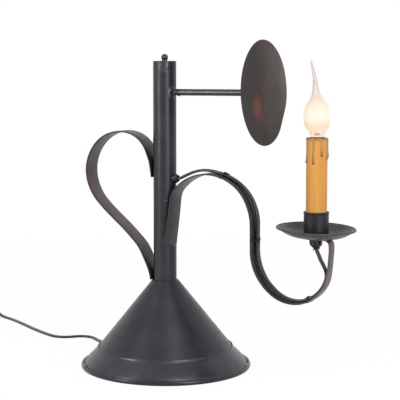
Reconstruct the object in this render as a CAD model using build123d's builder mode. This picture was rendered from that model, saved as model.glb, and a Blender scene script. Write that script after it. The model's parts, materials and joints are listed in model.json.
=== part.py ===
from build123d import *
from math import asin, atan2, ceil, cos, degrees, pi, radians, sin, sqrt, tan
import os

# Accent lamp in black painted tin: a cone base, a tube column with a strap handle, a curved strap arm that
# carries a candle light on a drip pan, and a dished reflector on a rod that turns in its socket.
# Millimetres. The origin is the centre of the base on the floor, +Z up, +X along the arm.

os.makedirs("parts", exist_ok=True)

# Fits
slip = 0.1
touch_gap = 0.05
weld_gap = 0.02

# Column
column_outer = 25.4
column_wall = 1.2
column_top = 337.6
cap_thickness = 1.2
cap_spigot = 5.0
ball_diameter = 7.6
ball_neck = 6.0
ball_stud = 3.0

# Base
sheet = 0.6
cone_shoulder_radius = 15.6
cone_shoulder_height = 95.3
cone_lip = 1.4
cone_lap = 4.5
crease_height = 21.0
rim_diameter = 187.4
rim_bead = 4.8
rim_clearance = 0.2
skirt_inset = 1.4
skirt_step = 0.85
felt_thickness = 2.0
plate_thickness = 1.2
ballast_diameter = 92.0
ballast_height = 18.0
column_socket_depth = 12.0
screw_diameter = 6.0
screw_head = 11.0
screw_head_height = 1.4
foot_plug_height = 14.0

# Straps
strap_thickness = 1.6
strap_width = 25.4
arm_root_height = 138.3
arm_shoulder_height = 186.2
arm_shoulder_radius = 17.9
arm_shoulder_turn = 40.5
arch_radius = 53.0
arm_drop = 24.9
bow_radius = 57.6
bow_turn = 53.4
cradle_radius = 39.1
arm_rise = 24.7
arm_corner_radius = 5.5
arm_tongue = 18.2
arm_run_width = 21.4
arm_tip_width = 13.0
candle_inset = 15.9
handle_foot_radius = 54.6
handle_foot_turn = 48.7
handle_leg = 65.7
handle_loop_radius = 45.1
handle_loop_turn = 145.9
handle_width = 22.2
handle_weld_length = 16.0

# Leads
lead_width = 5.3
lead_thickness = 2.7
lead_exit_straight = 5.5
lead_lift_radius = 8.0
lead_crest_radius = 90.0
lead_join_angle = 8.0
lead_leave_angle = 66.9
lead_leave_radius = 15.0
lead_lean = 24.5
lead_last_run = 24.5
tie_width = 2.4
tie_thickness = 0.6
tie_play = 0.12
column_bushing_diameter = 10.5
column_bushing_length = 4.4
bushing_wall = 1.4
inner_lead_diameter = 5.0
inner_lead_bend = 8.0

# Reflector
reflector_height = 303.8
reflector_diameter = 111.0
reflector_reach = 121.2
reflector_depth = 6.0
reflector_sheet = 0.8
rod_diameter = 7.2
stub_reach = 19.7
stub_gap = 0.2
stub_pin = 4.0
stub_pin_length = 9.0
rod_fit = 0.05
boss_diameter = 16.0
boss_length = 4.0

# Candle
pan_diameter = 83.2
pan_rise = 10.2
pan_flat = 34.0
pan_sheet = 0.9
pan_lip = 1.8
cup_outer = 26.2
cup_wall = 1.2
cup_height = 25.9
nipple_outer = 10.0
nipple_bore = 7.0
nipple_above_cup_floor = 9.0
nut_across_flats = 15.0
nut_height = 3.0
sleeve_outer = 22.0
sleeve_wall = 0.9
sleeve_length = 100.0
sleeve_lift = 1.3
drip_radius = 1.5
drip_count = 8
first_drip_angle = -125.0
relief_top = 10.8
relief_mouth = 6.4
relief_collar = 7.6
relief_collar_height = 1.0
relief_grip = 3.0

# Socket and bulb
socket_outer = 19.6
socket_length = 27.0
socket_below_rim = 1.5
shell_wall = 0.4
shell_length = 20.0
bracket_width = 8.0
bracket_thickness = 1.0
wire_diameter = 2.0
bulb_cap_diameter = 12.0
bulb_cap_length = 17.0
bulb_tip_diameter = 5.0
bulb_tip_height = 1.5
bulb_diameter = 28.2
bulb_neck_diameter = 14.0
bulb_neck_length = 3.6
bulb_belly_height = 20.0
bulb_shoulder_height = 39.5
bulb_shoulder_diameter = 11.0
bulb_tail_height = 77.0
bulb_tail_lean = 8.0

# Supply cord, a flat twin lead of six feet from the base to its plug
cord_diameter = 5.3
cord_exit_angle = 155.8
cord_exit_height = 9.2
base_bushing_diameter = 8.4
base_bushing_tip = 6.6
base_bushing_length = 20.0
base_bushing_inside = 3.0
cord_rest = 2.7
switch_length = 56.0
switch_width = 22.0
switch_thickness = 14.0
switch_end_width = 11.0
wheel_diameter = 15.0
wheel_thickness = 4.0
wheel_bore = 3.0
wheel_gap = 0.3
wheel_forward = 6.0
wheel_offset = 6.0
switch_lead_length = 40.0
coil_outer_radius = 43.5
coil_pitch = 6.1
coil_rise = 6.0
coil_half_turns_in = 7
coil_half_turns_out = 6
coil_tail = 36.0
plug_length = 27.0
plug_width = 23.0
plug_neck = 12.0
blade_width = 6.35
blade_thickness = 1.5
blade_length = 16.0
blade_spacing = 12.7

column_radius = column_outer / 2
column_bore = column_radius - column_wall
strap_half = strap_thickness / 2


def turn_x(radius, angle):
    # sideways reach of an arc that starts along its tangent and turns by angle degrees
    return radius * sin(radians(angle))


def turn_z(radius, angle):
    # rise of an arc away from its starting tangent
    return radius * (1 - cos(radians(angle)))


# Base: a spun cone, a skirt lapped over its lower edge with a rolled rim, a floor plate and a felt
plate_low = felt_thickness
ballast_low = plate_low + plate_thickness
ballast_top = ballast_low + ballast_height
column_low = ballast_top - column_socket_depth
rim_radius = rim_diameter / 2
bead_radius = rim_bead / 2
bead_centre = rim_radius - bead_radius
bead_height = bead_radius + rim_clearance
skirt_foot = bead_height + bead_radius / 2
skirt_foot_radius = bead_centre - skirt_inset
cone_top_height = cone_shoulder_height + cone_lip
cone_spread = (skirt_foot_radius - skirt_step - cone_shoulder_radius) / (cone_shoulder_height - skirt_foot)
sheet_across = sheet * sqrt(1 + cone_spread**2)


def cone_radius(height):
    # outer radius of the cone sheet at a height
    return cone_shoulder_radius + (cone_shoulder_height - height) * cone_spread


cone_foot = crease_height - cone_lap
collar_radius = column_radius + slip
collar_underside = cone_top_height - 1.5 * sheet

with BuildPart() as base_cone:
    with BuildSketch(Plane.XZ):
        with BuildLine():
            Polyline(
                (collar_radius, collar_underside),
                (collar_radius, cone_top_height),
                (cone_shoulder_radius - 2 * sheet, cone_top_height),
                (cone_shoulder_radius, cone_shoulder_height),
                (cone_radius(cone_foot), cone_foot),
                (cone_radius(cone_foot) - sheet_across, cone_foot),
                (cone_radius(collar_underside) - sheet_across, collar_underside),
                close=True,
            )
        make_face()
    revolve(axis=Axis.Z)
base_cone.part.label = "base_cone"
export_step(base_cone.part, "parts/base_cone.step")

exit_direction = (cos(radians(cord_exit_angle)), sin(radians(cord_exit_angle)), 0)
exit_side = (-exit_direction[1], exit_direction[0], 0)
skirt_exit_radius = cone_radius(cord_exit_height) + skirt_step
exit_plane = Plane(origin=(0, 0, cord_exit_height), x_dir=exit_side, z_dir=exit_direction)
bushing_inner = skirt_exit_radius - base_bushing_diameter
bushing_outer = skirt_exit_radius + base_bushing_length

with BuildPart() as base_skirt:
    with BuildSketch(Plane.XZ):
        with BuildLine():
            Polyline(
                (cone_radius(crease_height) + skirt_step, crease_height),
                (cone_radius(skirt_foot) + skirt_step, skirt_foot),
                (cone_radius(skirt_foot) + skirt_step - sheet_across, skirt_foot),
                (cone_radius(crease_height) + skirt_step - sheet_across, crease_height),
                close=True,
            )
        make_face()
        with Locations((bead_centre, bead_height)):
            Circle(bead_radius)
    revolve(axis=Axis.Z)
    with BuildSketch(exit_plane.offset(bushing_inner)):
        Circle(base_bushing_diameter / 2 + slip)
    extrude(amount=bushing_outer - bushing_inner, mode=Mode.SUBTRACT)
base_skirt.part.label = "base_skirt"
export_step(base_skirt.part, "parts/base_skirt.step")

plate_radius = bead_centre - bead_radius - slip
with BuildPart() as base_plate:
    with BuildSketch(Plane.XY.offset(plate_low)):
        Circle(plate_radius)
        Circle(screw_diameter / 2 + slip, mode=Mode.SUBTRACT)
    extrude(amount=plate_thickness)
base_plate.part.label = "base_plate"
export_step(base_plate.part, "parts/base_plate.step")

with BuildPart() as felt_pad:
    with BuildSketch():
        Circle(plate_radius - 2 * rim_bead)
    extrude(amount=felt_thickness)
    with BuildSketch(Plane.XY.offset(felt_thickness)):
        Circle(screw_head / 2 + slip)
    extrude(amount=-screw_head_height - slip, mode=Mode.SUBTRACT)
felt_pad.part.label = "felt_pad"
export_step(felt_pad.part, "parts/felt_pad.step")

with BuildPart() as ballast_weight:
    with BuildSketch(Plane.XY.offset(ballast_low)):
        Circle(ballast_diameter / 2)
        Circle(screw_diameter / 2 + slip, mode=Mode.SUBTRACT)
    extrude(amount=ballast_height)
    with BuildSketch(Plane.XY.offset(column_low)):
        Circle(column_radius + slip)
    extrude(amount=column_socket_depth, mode=Mode.SUBTRACT)
    chamfer(ballast_weight.faces().sort_by(Axis.Z)[-1].outer_wire().edges(), 2)
ballast_weight.part.label = "ballast_weight"
export_step(ballast_weight.part, "parts/ballast_weight.step")

screw_low = plate_low - screw_head_height
with BuildPart() as base_screw:
    with BuildSketch(Plane.XY.offset(screw_low)):
        Circle(screw_head / 2)
    extrude(amount=screw_head_height)
    with BuildSketch(Plane.XY.offset(plate_low)):
        Circle(screw_diameter / 2)
    extrude(amount=column_low + foot_plug_height - 2 - plate_low)
    with BuildSketch(Plane.XY.offset(screw_low)):
        Rectangle(screw_head + 1, 1.4)
    extrude(amount=screw_head_height / 2, mode=Mode.SUBTRACT)
base_screw.part.label = "base_screw"
export_step(base_screw.part, "parts/base_screw.step")

with BuildPart() as column_foot_plug:
    with BuildSketch(Plane.XY.offset(column_low)):
        Circle(column_bore - touch_gap)
        Circle(screw_diameter / 2 + touch_gap, mode=Mode.SUBTRACT)
    extrude(amount=foot_plug_height)
column_foot_plug.part.label = "column_foot_plug"
export_step(column_foot_plug.part, "parts/column_foot_plug.step")

# Places along the arm's centre line, from its root on the column to its tongue under the drip pan
arm_start_x = column_radius + weld_gap + strap_half
arch_x = arm_start_x + arm_shoulder_radius + (arch_radius - arm_shoulder_radius) * cos(radians(arm_shoulder_turn))
arch_z = arm_shoulder_height - (arch_radius - arm_shoulder_radius) * sin(radians(arm_shoulder_turn))
run_x = arch_x + arch_radius
run_z = arch_z - arm_drop
cradle_x = run_x + bow_radius - (bow_radius - cradle_radius) * cos(radians(bow_turn))
cradle_z = run_z - (bow_radius - cradle_radius) * sin(radians(bow_turn))
riser_x = cradle_x + cradle_radius
tongue_z = cradle_z + arm_rise + arm_corner_radius
candle_x = riser_x - candle_inset

# Lead centre line, on the outer face of the arch and the inner face of the cradle
lead_offset = strap_half + lead_thickness / 2 + touch_gap
lead_arch_radius = arch_radius + lead_offset
lead_bow_radius = bow_radius - lead_offset
lead_cradle_radius = cradle_radius - lead_offset
crest_x = arch_x - (lead_crest_radius - lead_arch_radius) * sin(radians(lead_join_angle))
crest_z = arch_z - (lead_crest_radius - lead_arch_radius) * cos(radians(lead_join_angle))
lead_exit_x = column_radius + lead_exit_straight
lift_reach = lead_crest_radius + lead_lift_radius
lead_exit_z = crest_z + sqrt(lift_reach**2 - (crest_x - lead_exit_x) ** 2) - lead_lift_radius
lead_lift_turn = degrees(asin((crest_x - lead_exit_x) / lift_reach))

# Column
inner_lead_radius = inner_lead_diameter / 2
entry_height = ballast_top + 3 * inner_lead_diameter

with BuildPart() as column_tube:
    with BuildSketch(Plane.XY.offset(column_low)):
        Circle(column_radius)
        Circle(column_bore, mode=Mode.SUBTRACT)
    extrude(amount=column_top - cap_thickness - column_low)
    with BuildSketch(Plane.YZ.offset(0)):
        with Locations((0, lead_exit_z)):
            Circle(inner_lead_radius + 2 * slip)
    extrude(amount=column_outer, mode=Mode.SUBTRACT)
    entry_plane = Plane(origin=(0, 0, entry_height), x_dir=exit_side, z_dir=exit_direction)
    with BuildSketch(entry_plane):
        SlotOverall(4 * inner_lead_diameter, 1.8 * inner_lead_diameter, rotation=90)
    extrude(amount=column_outer, mode=Mode.SUBTRACT)
column_tube.part.label = "column_tube"
export_step(column_tube.part, "parts/column_tube.step")

with BuildPart() as column_cap:
    with BuildSketch(Plane.XY.offset(column_top - cap_thickness - cap_spigot)):
        Circle(column_bore - touch_gap)
    extrude(amount=cap_spigot)
    with BuildSketch(Plane.XY.offset(column_top - cap_thickness)):
        Circle(column_radius)
    extrude(amount=cap_thickness)
    fillet(column_cap.faces().sort_by(Axis.Z)[-1].edges(), cap_thickness / 3)
    with BuildSketch(Plane.XY.offset(column_top)):
        Circle(ball_stud / 2 + touch_gap)
    extrude(amount=-cap_thickness - cap_spigot, mode=Mode.SUBTRACT)
column_cap.part.label = "column_cap"
export_step(column_cap.part, "parts/column_cap.step")

ball_radius = ball_diameter / 2
ball_centre = column_top + ball_radius + slip
with BuildPart() as ball_finial:
    with Locations((0, 0, ball_centre)):
        Sphere(ball_radius)
    with BuildSketch(Plane.XY.offset(column_top)):
        Circle(ball_neck / 2)
    extrude(amount=ball_radius)
    with BuildSketch(Plane.XY.offset(column_top)):
        Circle(ball_stud / 2)
    extrude(amount=-cap_thickness - cap_spigot / 2)
ball_finial.part.label = "ball_finial"
export_step(ball_finial.part, "parts/ball_finial.step")

# Arm strap: one flat strip bent in the XZ plane, narrowing in plan towards its tip
arm_section = Plane(origin=(arm_start_x, 0, arm_root_height), x_dir=(0, 1, 0), z_dir=(0, 0, 1))
with BuildPart() as arm_strap:
    with BuildLine(Plane.XZ) as arm_path:
        root = Line((arm_start_x, arm_root_height), (arm_start_x, arm_shoulder_height))
        shoulder = JernArc(root @ 1, root % 1, arm_shoulder_radius, -arm_shoulder_turn)
        arch = JernArc(shoulder @ 1, shoulder % 1, arch_radius, arm_shoulder_turn - 180)
        drop = Line(arch @ 1, (run_x, run_z))
        bow = JernArc(drop @ 1, drop % 1, bow_radius, bow_turn)
        cradle = JernArc(bow @ 1, bow % 1, cradle_radius, 180 - bow_turn)
        riser = Line(cradle @ 1, (riser_x, cradle_z + arm_rise))
        corner = JernArc(riser @ 1, riser % 1, arm_corner_radius, 90)
        tongue = Line(corner @ 1, (riser_x - arm_corner_radius - arm_tongue, tongue_z))
    with BuildSketch(arm_section):
        Rectangle(strap_width, strap_thickness)
    sweep(path=arm_path.wire())
    with BuildSketch():
        with BuildLine():
            Polyline(
                (0, strap_width / 2),
                (arm_start_x, strap_width / 2),
                (run_x, arm_run_width / 2),
                (riser_x - strap_half, arm_tip_width / 2),
                (riser_x + strap_thickness, arm_tip_width / 2),
                (riser_x + strap_thickness, -arm_tip_width / 2),
                (riser_x - strap_half, -arm_tip_width / 2),
                (run_x, -arm_run_width / 2),
                (arm_start_x, -strap_width / 2),
                (0, -strap_width / 2),
                close=True,
            )
        make_face()
    extrude(amount=column_top, mode=Mode.INTERSECT)
    with BuildSketch(Plane.XY.offset(tongue_z - strap_thickness)):
        with Locations((candle_x, 0)):
            Circle(nipple_outer / 2 + touch_gap)
    extrude(amount=2 * strap_thickness, mode=Mode.SUBTRACT)
arm_strap.part.label = "arm_strap"
export_step(arm_strap.part, "parts/arm_strap.step")

# Handle strap: a C loop that starts on the cone's shoulder and comes back to the column
handle_x = -column_radius - weld_gap - strap_half
handle_low = cone_top_height + touch_gap
foot_end_x = handle_x - turn_z(handle_foot_radius, handle_foot_turn)
foot_end_z = handle_low + turn_x(handle_foot_radius, handle_foot_turn)
leg_end_x = foot_end_x - handle_leg * sin(radians(handle_foot_turn))
leg_end_z = foot_end_z + handle_leg * cos(radians(handle_foot_turn))
loop_end_angle = handle_loop_turn - handle_foot_turn
loop_centre_x = leg_end_x + handle_loop_radius * cos(radians(handle_foot_turn))
loop_end_x = loop_centre_x - handle_loop_radius * cos(radians(loop_end_angle))
close_radius = (handle_x - loop_end_x) / (1 + cos(radians(loop_end_angle)))
close_turn = 180 - loop_end_angle

with BuildPart() as handle_strap:
    with BuildLine(Plane.XZ) as handle_path:
        foot = JernArc((handle_x, handle_low), (0, 1), handle_foot_radius, handle_foot_turn)
        leg = Line(foot @ 1, (leg_end_x, leg_end_z))
        loop = JernArc(leg @ 1, leg % 1, handle_loop_radius, -handle_loop_turn)
        closing = JernArc(loop @ 1, loop % 1, close_radius, -close_turn)
        landing = Line(closing @ 1, closing @ 1 - Vector(0, 0, handle_weld_length))
    with BuildSketch(Plane(origin=(handle_x, 0, handle_low), x_dir=(0, 1, 0), z_dir=(0, 0, 1))):
        Rectangle(handle_width, strap_thickness)
    sweep(path=handle_path.wire())
handle_strap.part.label = "handle_strap"
export_step(handle_strap.part, "parts/handle_strap.step")

# Column bushing and the flat lead that it lets out
with BuildPart() as column_bushing:
    with BuildSketch(Plane.YZ.offset(column_radius)):
        with Locations((0, lead_exit_z)):
            Circle(column_bushing_diameter / 2)
    extrude(amount=column_bushing_length, taper=12)
    Cylinder(
        column_radius + weld_gap,
        column_top,
        align=(Align.CENTER, Align.CENTER, Align.MIN),
        mode=Mode.SUBTRACT,
    )
    with BuildSketch(Plane.YZ):
        with Locations((0, lead_exit_z)):
            RectangleRounded(lead_width + slip, lead_thickness + slip, lead_thickness / 2)
    extrude(amount=2 * column_outer, mode=Mode.SUBTRACT)
column_bushing.part.label = "column_bushing"
export_step(column_bushing.part, "parts/column_bushing.step")

leave_x = cradle_x + turn_x(lead_cradle_radius, lead_leave_angle)
leave_z = cradle_z - lead_cradle_radius * cos(radians(lead_leave_angle))
leave_turn = 90 + lead_lean - lead_leave_angle
lead_start_x = column_radius + weld_gap
relief_ceiling = tongue_z - strap_half - touch_gap

with BuildPart() as arm_lead:
    with BuildLine(Plane.XZ) as lead_path:
        way_out = Line((lead_start_x, lead_exit_z), (lead_exit_x, lead_exit_z))
        lift = JernArc(way_out @ 1, way_out % 1, lead_lift_radius, lead_lift_turn)
        crest = JernArc(lift @ 1, lift % 1, lead_crest_radius, -lead_lift_turn - lead_join_angle)
        over = JernArc(crest @ 1, crest % 1, lead_arch_radius, lead_join_angle - 90)
        down = Line(over @ 1, over @ 1 - Vector(0, 0, arm_drop))
        under = JernArc(down @ 1, down % 1, lead_bow_radius, bow_turn)
        along = JernArc(under @ 1, under % 1, lead_cradle_radius, 90 - bow_turn + lead_leave_angle)
        away = JernArc(along @ 1, along % 1, lead_leave_radius, leave_turn)
        lean = Line(away @ 1, away @ 1 + (away % 1) * (lead_last_run + relief_grip))
    with BuildSketch(Plane(origin=(lead_start_x, 0, lead_exit_z), x_dir=(0, 1, 0), z_dir=(1, 0, 0))):
        with Locations(((lead_thickness - lead_width) / 2, 0), ((lead_width - lead_thickness) / 2, 0)):
            Circle(lead_thickness / 2)
        Rectangle(lead_width - lead_thickness, 0.7 * lead_thickness)
    sweep(path=lead_path.wire())
arm_lead.part.label = "arm_lead"
export_step(arm_lead.part, "parts/arm_lead.step")
lead_length = lead_path.wire().length
print("arm lead length", round(lead_length, 1), "section", round(arm_lead.part.volume / lead_length, 3))

# Three ties hold the lead to the strap
tie_angle_arch = 17.5
tie_height_run = run_z + 0.68 * arm_drop
tie_angle_cradle = -7.0


def tie_ring(centre, normal, width):
    # a flat ring round the strap and the lead, square to the strap at its centre
    plane = Plane(origin=centre, x_dir=(0, 1, 0), z_dir=Vector(0, 1, 0).cross(Vector(*normal)))
    reach = strap_thickness + lead_thickness + touch_gap + 2 * tie_play
    inside_width = width + 2 * tie_play
    with BuildPart() as ring:
        with BuildSketch(plane):
            with Locations((0, (lead_thickness + touch_gap) / 2)):
                RectangleRounded(inside_width + 2 * tie_thickness, reach + 2 * tie_thickness, tie_thickness)
                Rectangle(inside_width, reach, mode=Mode.SUBTRACT)
        extrude(amount=tie_width / 2, both=True)
    return ring.part


def plan_width(x):
    # width of the arm strap at a distance along the arm
    if x <= run_x:
        share = (x - arm_start_x) / (run_x - arm_start_x)
        return strap_width + (arm_run_width - strap_width) * share
    share = (x - run_x) / (riser_x - strap_half - run_x)
    return arm_run_width + (arm_tip_width - arm_run_width) * share


arch_normal = (sin(radians(tie_angle_arch)), 0, cos(radians(tie_angle_arch)))
arch_tie = (arch_x + arch_radius * arch_normal[0], 0, arch_z + arch_radius * arch_normal[2])
run_tie = (run_x, 0, tie_height_run)
cradle_normal = (-sin(radians(tie_angle_cradle)), 0, cos(radians(tie_angle_cradle)))
cradle_tie = (cradle_x - cradle_radius * cradle_normal[0], 0, cradle_z - cradle_radius * cradle_normal[2])
lead_ties = Compound(
    label="lead_ties",
    children=[
        tie_ring(arch_tie, arch_normal, plan_width(arch_tie[0] - tie_width / 2)),
        tie_ring(run_tie, (1, 0, 0), plan_width(run_x)),
        tie_ring(cradle_tie, cradle_normal, plan_width(cradle_tie[0] - tie_width / 2)),
    ],
)
export_step(lead_ties, "parts/lead_ties.step")

# Strain relief under the tongue, on the line of the lead that it grips
relief_axis = lean % 1
relief_start = away @ 1 + relief_axis * lead_last_run
relief_end = relief_start + relief_axis * ((relief_ceiling - relief_start.Z) / relief_axis.Z)
relief_plane = Plane(origin=relief_start, x_dir=(0, 1, 0), z_dir=relief_axis)
relief_run = (relief_end - relief_start).length
with BuildPart() as lead_relief:
    with BuildSketch(relief_plane):
        Circle(relief_mouth / 2)
    with BuildSketch(relief_plane.offset(relief_run)):
        Circle(relief_top / 2)
    loft()
    with BuildSketch(relief_plane.offset(relief_run)):
        Circle(relief_top / 2)
    extrude(amount=relief_top / 2)
    with BuildSketch(relief_plane):
        Circle(relief_collar / 2)
    extrude(amount=relief_collar_height)
    with BuildSketch(relief_plane):
        RectangleRounded(lead_width + slip, lead_thickness + slip, lead_thickness / 2)
    extrude(amount=relief_grip + touch_gap, mode=Mode.SUBTRACT)
    with BuildSketch(relief_plane.offset(relief_grip)):
        Circle(lead_width / 2)
    extrude(amount=relief_run, mode=Mode.SUBTRACT)
    with BuildSketch(Plane.XY.offset(relief_ceiling)):
        with Locations((relief_end.X, 0)):
            Rectangle(3 * relief_top, 3 * relief_top)
    extrude(amount=3 * relief_top, mode=Mode.SUBTRACT)
lead_relief.part.label = "lead_relief"
export_step(lead_relief.part, "parts/lead_relief.step")

# Reflector: a stub brazed to the column, a rod that turns on its pin, and a dished disc
with BuildPart() as reflector_stub:
    with BuildSketch(Plane.YZ):
        with Locations((0, reflector_height)):
            Circle(rod_diameter / 2)
    extrude(amount=stub_reach)
    with BuildSketch(Plane.YZ.offset(stub_reach)):
        with Locations((0, reflector_height)):
            Circle(stub_pin / 2)
    extrude(amount=stub_pin_length)
    Cylinder(
        column_radius + weld_gap,
        column_top,
        align=(Align.CENTER, Align.CENTER, Align.MIN),
        mode=Mode.SUBTRACT,
    )
reflector_stub.part.label = "reflector_stub"
export_step(reflector_stub.part, "parts/reflector_stub.step")

dish_radius = (reflector_diameter**2 / 4 + reflector_depth**2) / (2 * reflector_depth)
dish_back = reflector_reach - reflector_depth
boss_low = dish_back - reflector_sheet - boss_length
rod_start = stub_reach + stub_gap

with BuildPart() as reflector_rod:
    with BuildSketch(Plane.YZ.offset(rod_start)):
        with Locations((0, reflector_height)):
            Circle(rod_diameter / 2)
    extrude(amount=dish_back - reflector_sheet - touch_gap - rod_start)
    with BuildSketch(Plane.YZ.offset(rod_start)):
        with Locations((0, reflector_height)):
            Circle(stub_pin / 2 + rod_fit)
    extrude(amount=stub_pin_length + 1, mode=Mode.SUBTRACT)
reflector_rod.part.label = "reflector_rod"
export_step(reflector_rod.part, "parts/reflector_rod.step")

with BuildPart() as reflector_boss:
    with BuildSketch(Plane.YZ.offset(boss_low)):
        with Locations((0, reflector_height)):
            Circle(rod_diameter / 2 + bushing_wall)
    with BuildSketch(Plane.YZ.offset(boss_low + boss_length - touch_gap)):
        with Locations((0, reflector_height)):
            Circle(boss_diameter / 2)
    loft()
    with BuildSketch(Plane.YZ.offset(boss_low)):
        with Locations((0, reflector_height)):
            Circle(rod_diameter / 2 + touch_gap)
    extrude(amount=boss_length, mode=Mode.SUBTRACT)
reflector_boss.part.label = "reflector_boss"
export_step(reflector_boss.part, "parts/reflector_boss.step")

rim_height = reflector_height + reflector_diameter / 2
rim_slant = asin(reflector_diameter / 2 / dish_radius)
rim_back_x = reflector_reach - reflector_sheet * cos(rim_slant)
rim_back_z = rim_height + reflector_sheet * sin(rim_slant)
dish_axis = Axis((0, 0, reflector_height), (1, 0, 0))
with BuildPart() as reflector_disc:
    with BuildSketch(Plane.XZ):
        with BuildLine():
            front = TangentArc(
                (dish_back, reflector_height), (reflector_reach, rim_height), tangent=(0, 1)
            )
            edge = Line((reflector_reach, rim_height), (rim_back_x, rim_back_z))
            back = TangentArc(
                (dish_back - reflector_sheet, reflector_height), (rim_back_x, rim_back_z), tangent=(0, 1)
            )
            middle = Line((dish_back - reflector_sheet, reflector_height), (dish_back, reflector_height))
        make_face()
    revolve(axis=dish_axis)
reflector_disc.part.label = "reflector_disc"
export_step(reflector_disc.part, "parts/reflector_disc.step")

# Drip pan, candle cup and what clamps them to the arm's tongue
pan_low = tongue_z + strap_half
pan_radius = pan_diameter / 2
pan_floor = pan_low + pan_sheet
candle_plane = Plane(origin=(candle_x, 0, 0), x_dir=(1, 0, 0), z_dir=(0, -1, 0))
candle_axis = Axis((candle_x, 0, 0), (0, 0, 1))
with BuildPart() as drip_pan:
    with BuildSketch(candle_plane):
        with BuildLine():
            floor_line = Line((nipple_outer / 2 + slip, pan_low), (pan_flat / 2, pan_low))
            side = TangentArc(
                (pan_flat / 2, pan_low), (pan_radius - pan_lip, pan_low + pan_rise - pan_lip / 2), tangent=(1, 0)
            )
            lip_out = Line(side @ 1, (pan_radius, pan_low + pan_rise - pan_lip / 2))
            lip_up = Line(lip_out @ 1, (pan_radius, pan_low + pan_rise))
            lip_in = Line(lip_up @ 1, (pan_radius - pan_lip - pan_sheet, pan_low + pan_rise))
            inside = TangentArc((pan_flat / 2, pan_floor), lip_in @ 1, tangent=(1, 0))
            floor_top = Line((pan_flat / 2, pan_floor), (nipple_outer / 2 + slip, pan_floor))
            hole_edge = Line((nipple_outer / 2 + slip, pan_floor), (nipple_outer / 2 + slip, pan_low))
        make_face()
    revolve(axis=candle_axis)
drip_pan.part.label = "drip_pan"
export_step(drip_pan.part, "parts/drip_pan.step")

cup_low = pan_floor
cup_radius = cup_outer / 2
cup_floor = cup_low + cup_wall
with BuildPart() as candle_cup:
    with BuildSketch(Plane.XY.offset(cup_low)):
        with Locations((candle_x, 0)):
            Circle(cup_radius)
            Circle(nipple_outer / 2 + slip, mode=Mode.SUBTRACT)
    extrude(amount=cup_height)
    with BuildSketch(Plane.XY.offset(cup_floor)):
        with Locations((candle_x, 0)):
            Circle(cup_radius - cup_wall)
    extrude(amount=cup_height, mode=Mode.SUBTRACT)
    fillet(candle_cup.faces().sort_by(Axis.Z)[-1].edges(), cup_wall / 3)
candle_cup.part.label = "candle_cup"
export_step(candle_cup.part, "parts/candle_cup.step")

nipple_low = relief_ceiling + touch_gap
nipple_high = cup_floor + nipple_above_cup_floor
with BuildPart() as candle_nipple:
    with BuildSketch(Plane.XY.offset(nipple_low)):
        with Locations((candle_x, 0)):
            Circle(nipple_outer / 2)
            Circle(nipple_bore / 2, mode=Mode.SUBTRACT)
    extrude(amount=nipple_high - nipple_low)
candle_nipple.part.label = "candle_nipple"
export_step(candle_nipple.part, "parts/candle_nipple.step")

with BuildPart() as cup_nut:
    with BuildSketch(Plane.XY.offset(cup_floor)):
        with Locations((candle_x, 0)):
            RegularPolygon(nut_across_flats / 2, 6, major_radius=False)
            Circle(nipple_outer / 2 + touch_gap, mode=Mode.SUBTRACT)
    extrude(amount=nut_height)
cup_nut.part.label = "cup_nut"
export_step(cup_nut.part, "parts/cup_nut.step")

# Socket on its bracket, inside the candle sleeve
sleeve_low = cup_floor + sleeve_lift
sleeve_top = sleeve_low + sleeve_length
sleeve_radius = sleeve_outer / 2
socket_top = sleeve_top - socket_below_rim
socket_low = socket_top - socket_length
bracket_low = cup_floor + nut_height
bracket_x = candle_x - socket_outer / 2 + 1.5 * bracket_thickness
with BuildPart() as socket_bracket:
    with BuildSketch(Plane.XY.offset(bracket_low)):
        with Locations((candle_x, 0)):
            Circle(nut_across_flats / 2)
        with Locations(((bracket_x - bracket_thickness / 2 + candle_x) / 2, 0)):
            Rectangle(candle_x - bracket_x + bracket_thickness / 2, bracket_width)
        with Locations((candle_x, 0)):
            Circle(nipple_outer / 2 + touch_gap, mode=Mode.SUBTRACT)
    extrude(amount=bracket_thickness)
    with BuildSketch(Plane.XY.offset(bracket_low)):
        with Locations((bracket_x, 0)):
            Rectangle(bracket_thickness, bracket_width)
    extrude(amount=socket_low - bracket_low - bracket_thickness)
    with BuildSketch(Plane.XY.offset(socket_low - bracket_thickness)):
        with Locations(((bracket_x - bracket_thickness / 2 + candle_x) / 2, 0)):
            Rectangle(candle_x - bracket_x + bracket_thickness / 2, bracket_width)
    extrude(amount=bracket_thickness)
socket_bracket.part.label = "socket_bracket"
export_step(socket_bracket.part, "parts/socket_bracket.step")

shell_low = socket_top - shell_length
shell_outer = bulb_cap_diameter + 2 * (rod_fit + shell_wall)
wire_spread = wire_diameter
with BuildPart() as socket_body:
    with BuildSketch(Plane.XY.offset(socket_low)):
        with Locations((candle_x, 0)):
            Circle(socket_outer / 2)
    extrude(amount=socket_length)
    with BuildSketch(Plane.XY.offset(shell_low)):
        with Locations((candle_x, 0)):
            Circle(shell_outer / 2 + touch_gap)
    extrude(amount=shell_length, mode=Mode.SUBTRACT)
    with BuildSketch(Plane.XY.offset(socket_low)):
        with Locations((candle_x + 2 * wire_spread, wire_spread), (candle_x + 2 * wire_spread, -wire_spread)):
            Circle(wire_diameter / 2 + touch_gap)
    extrude(amount=wire_diameter, mode=Mode.SUBTRACT)
socket_body.part.label = "socket_body"
export_step(socket_body.part, "parts/socket_body.step")

with BuildPart() as socket_shell:
    with BuildSketch(Plane.XY.offset(shell_low)):
        with Locations((candle_x, 0)):
            Circle(shell_outer / 2)
            Circle(shell_outer / 2 - shell_wall, mode=Mode.SUBTRACT)
    extrude(amount=shell_length - touch_gap)
socket_shell.part.label = "socket_shell"
export_step(socket_shell.part, "parts/socket_shell.step")

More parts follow.
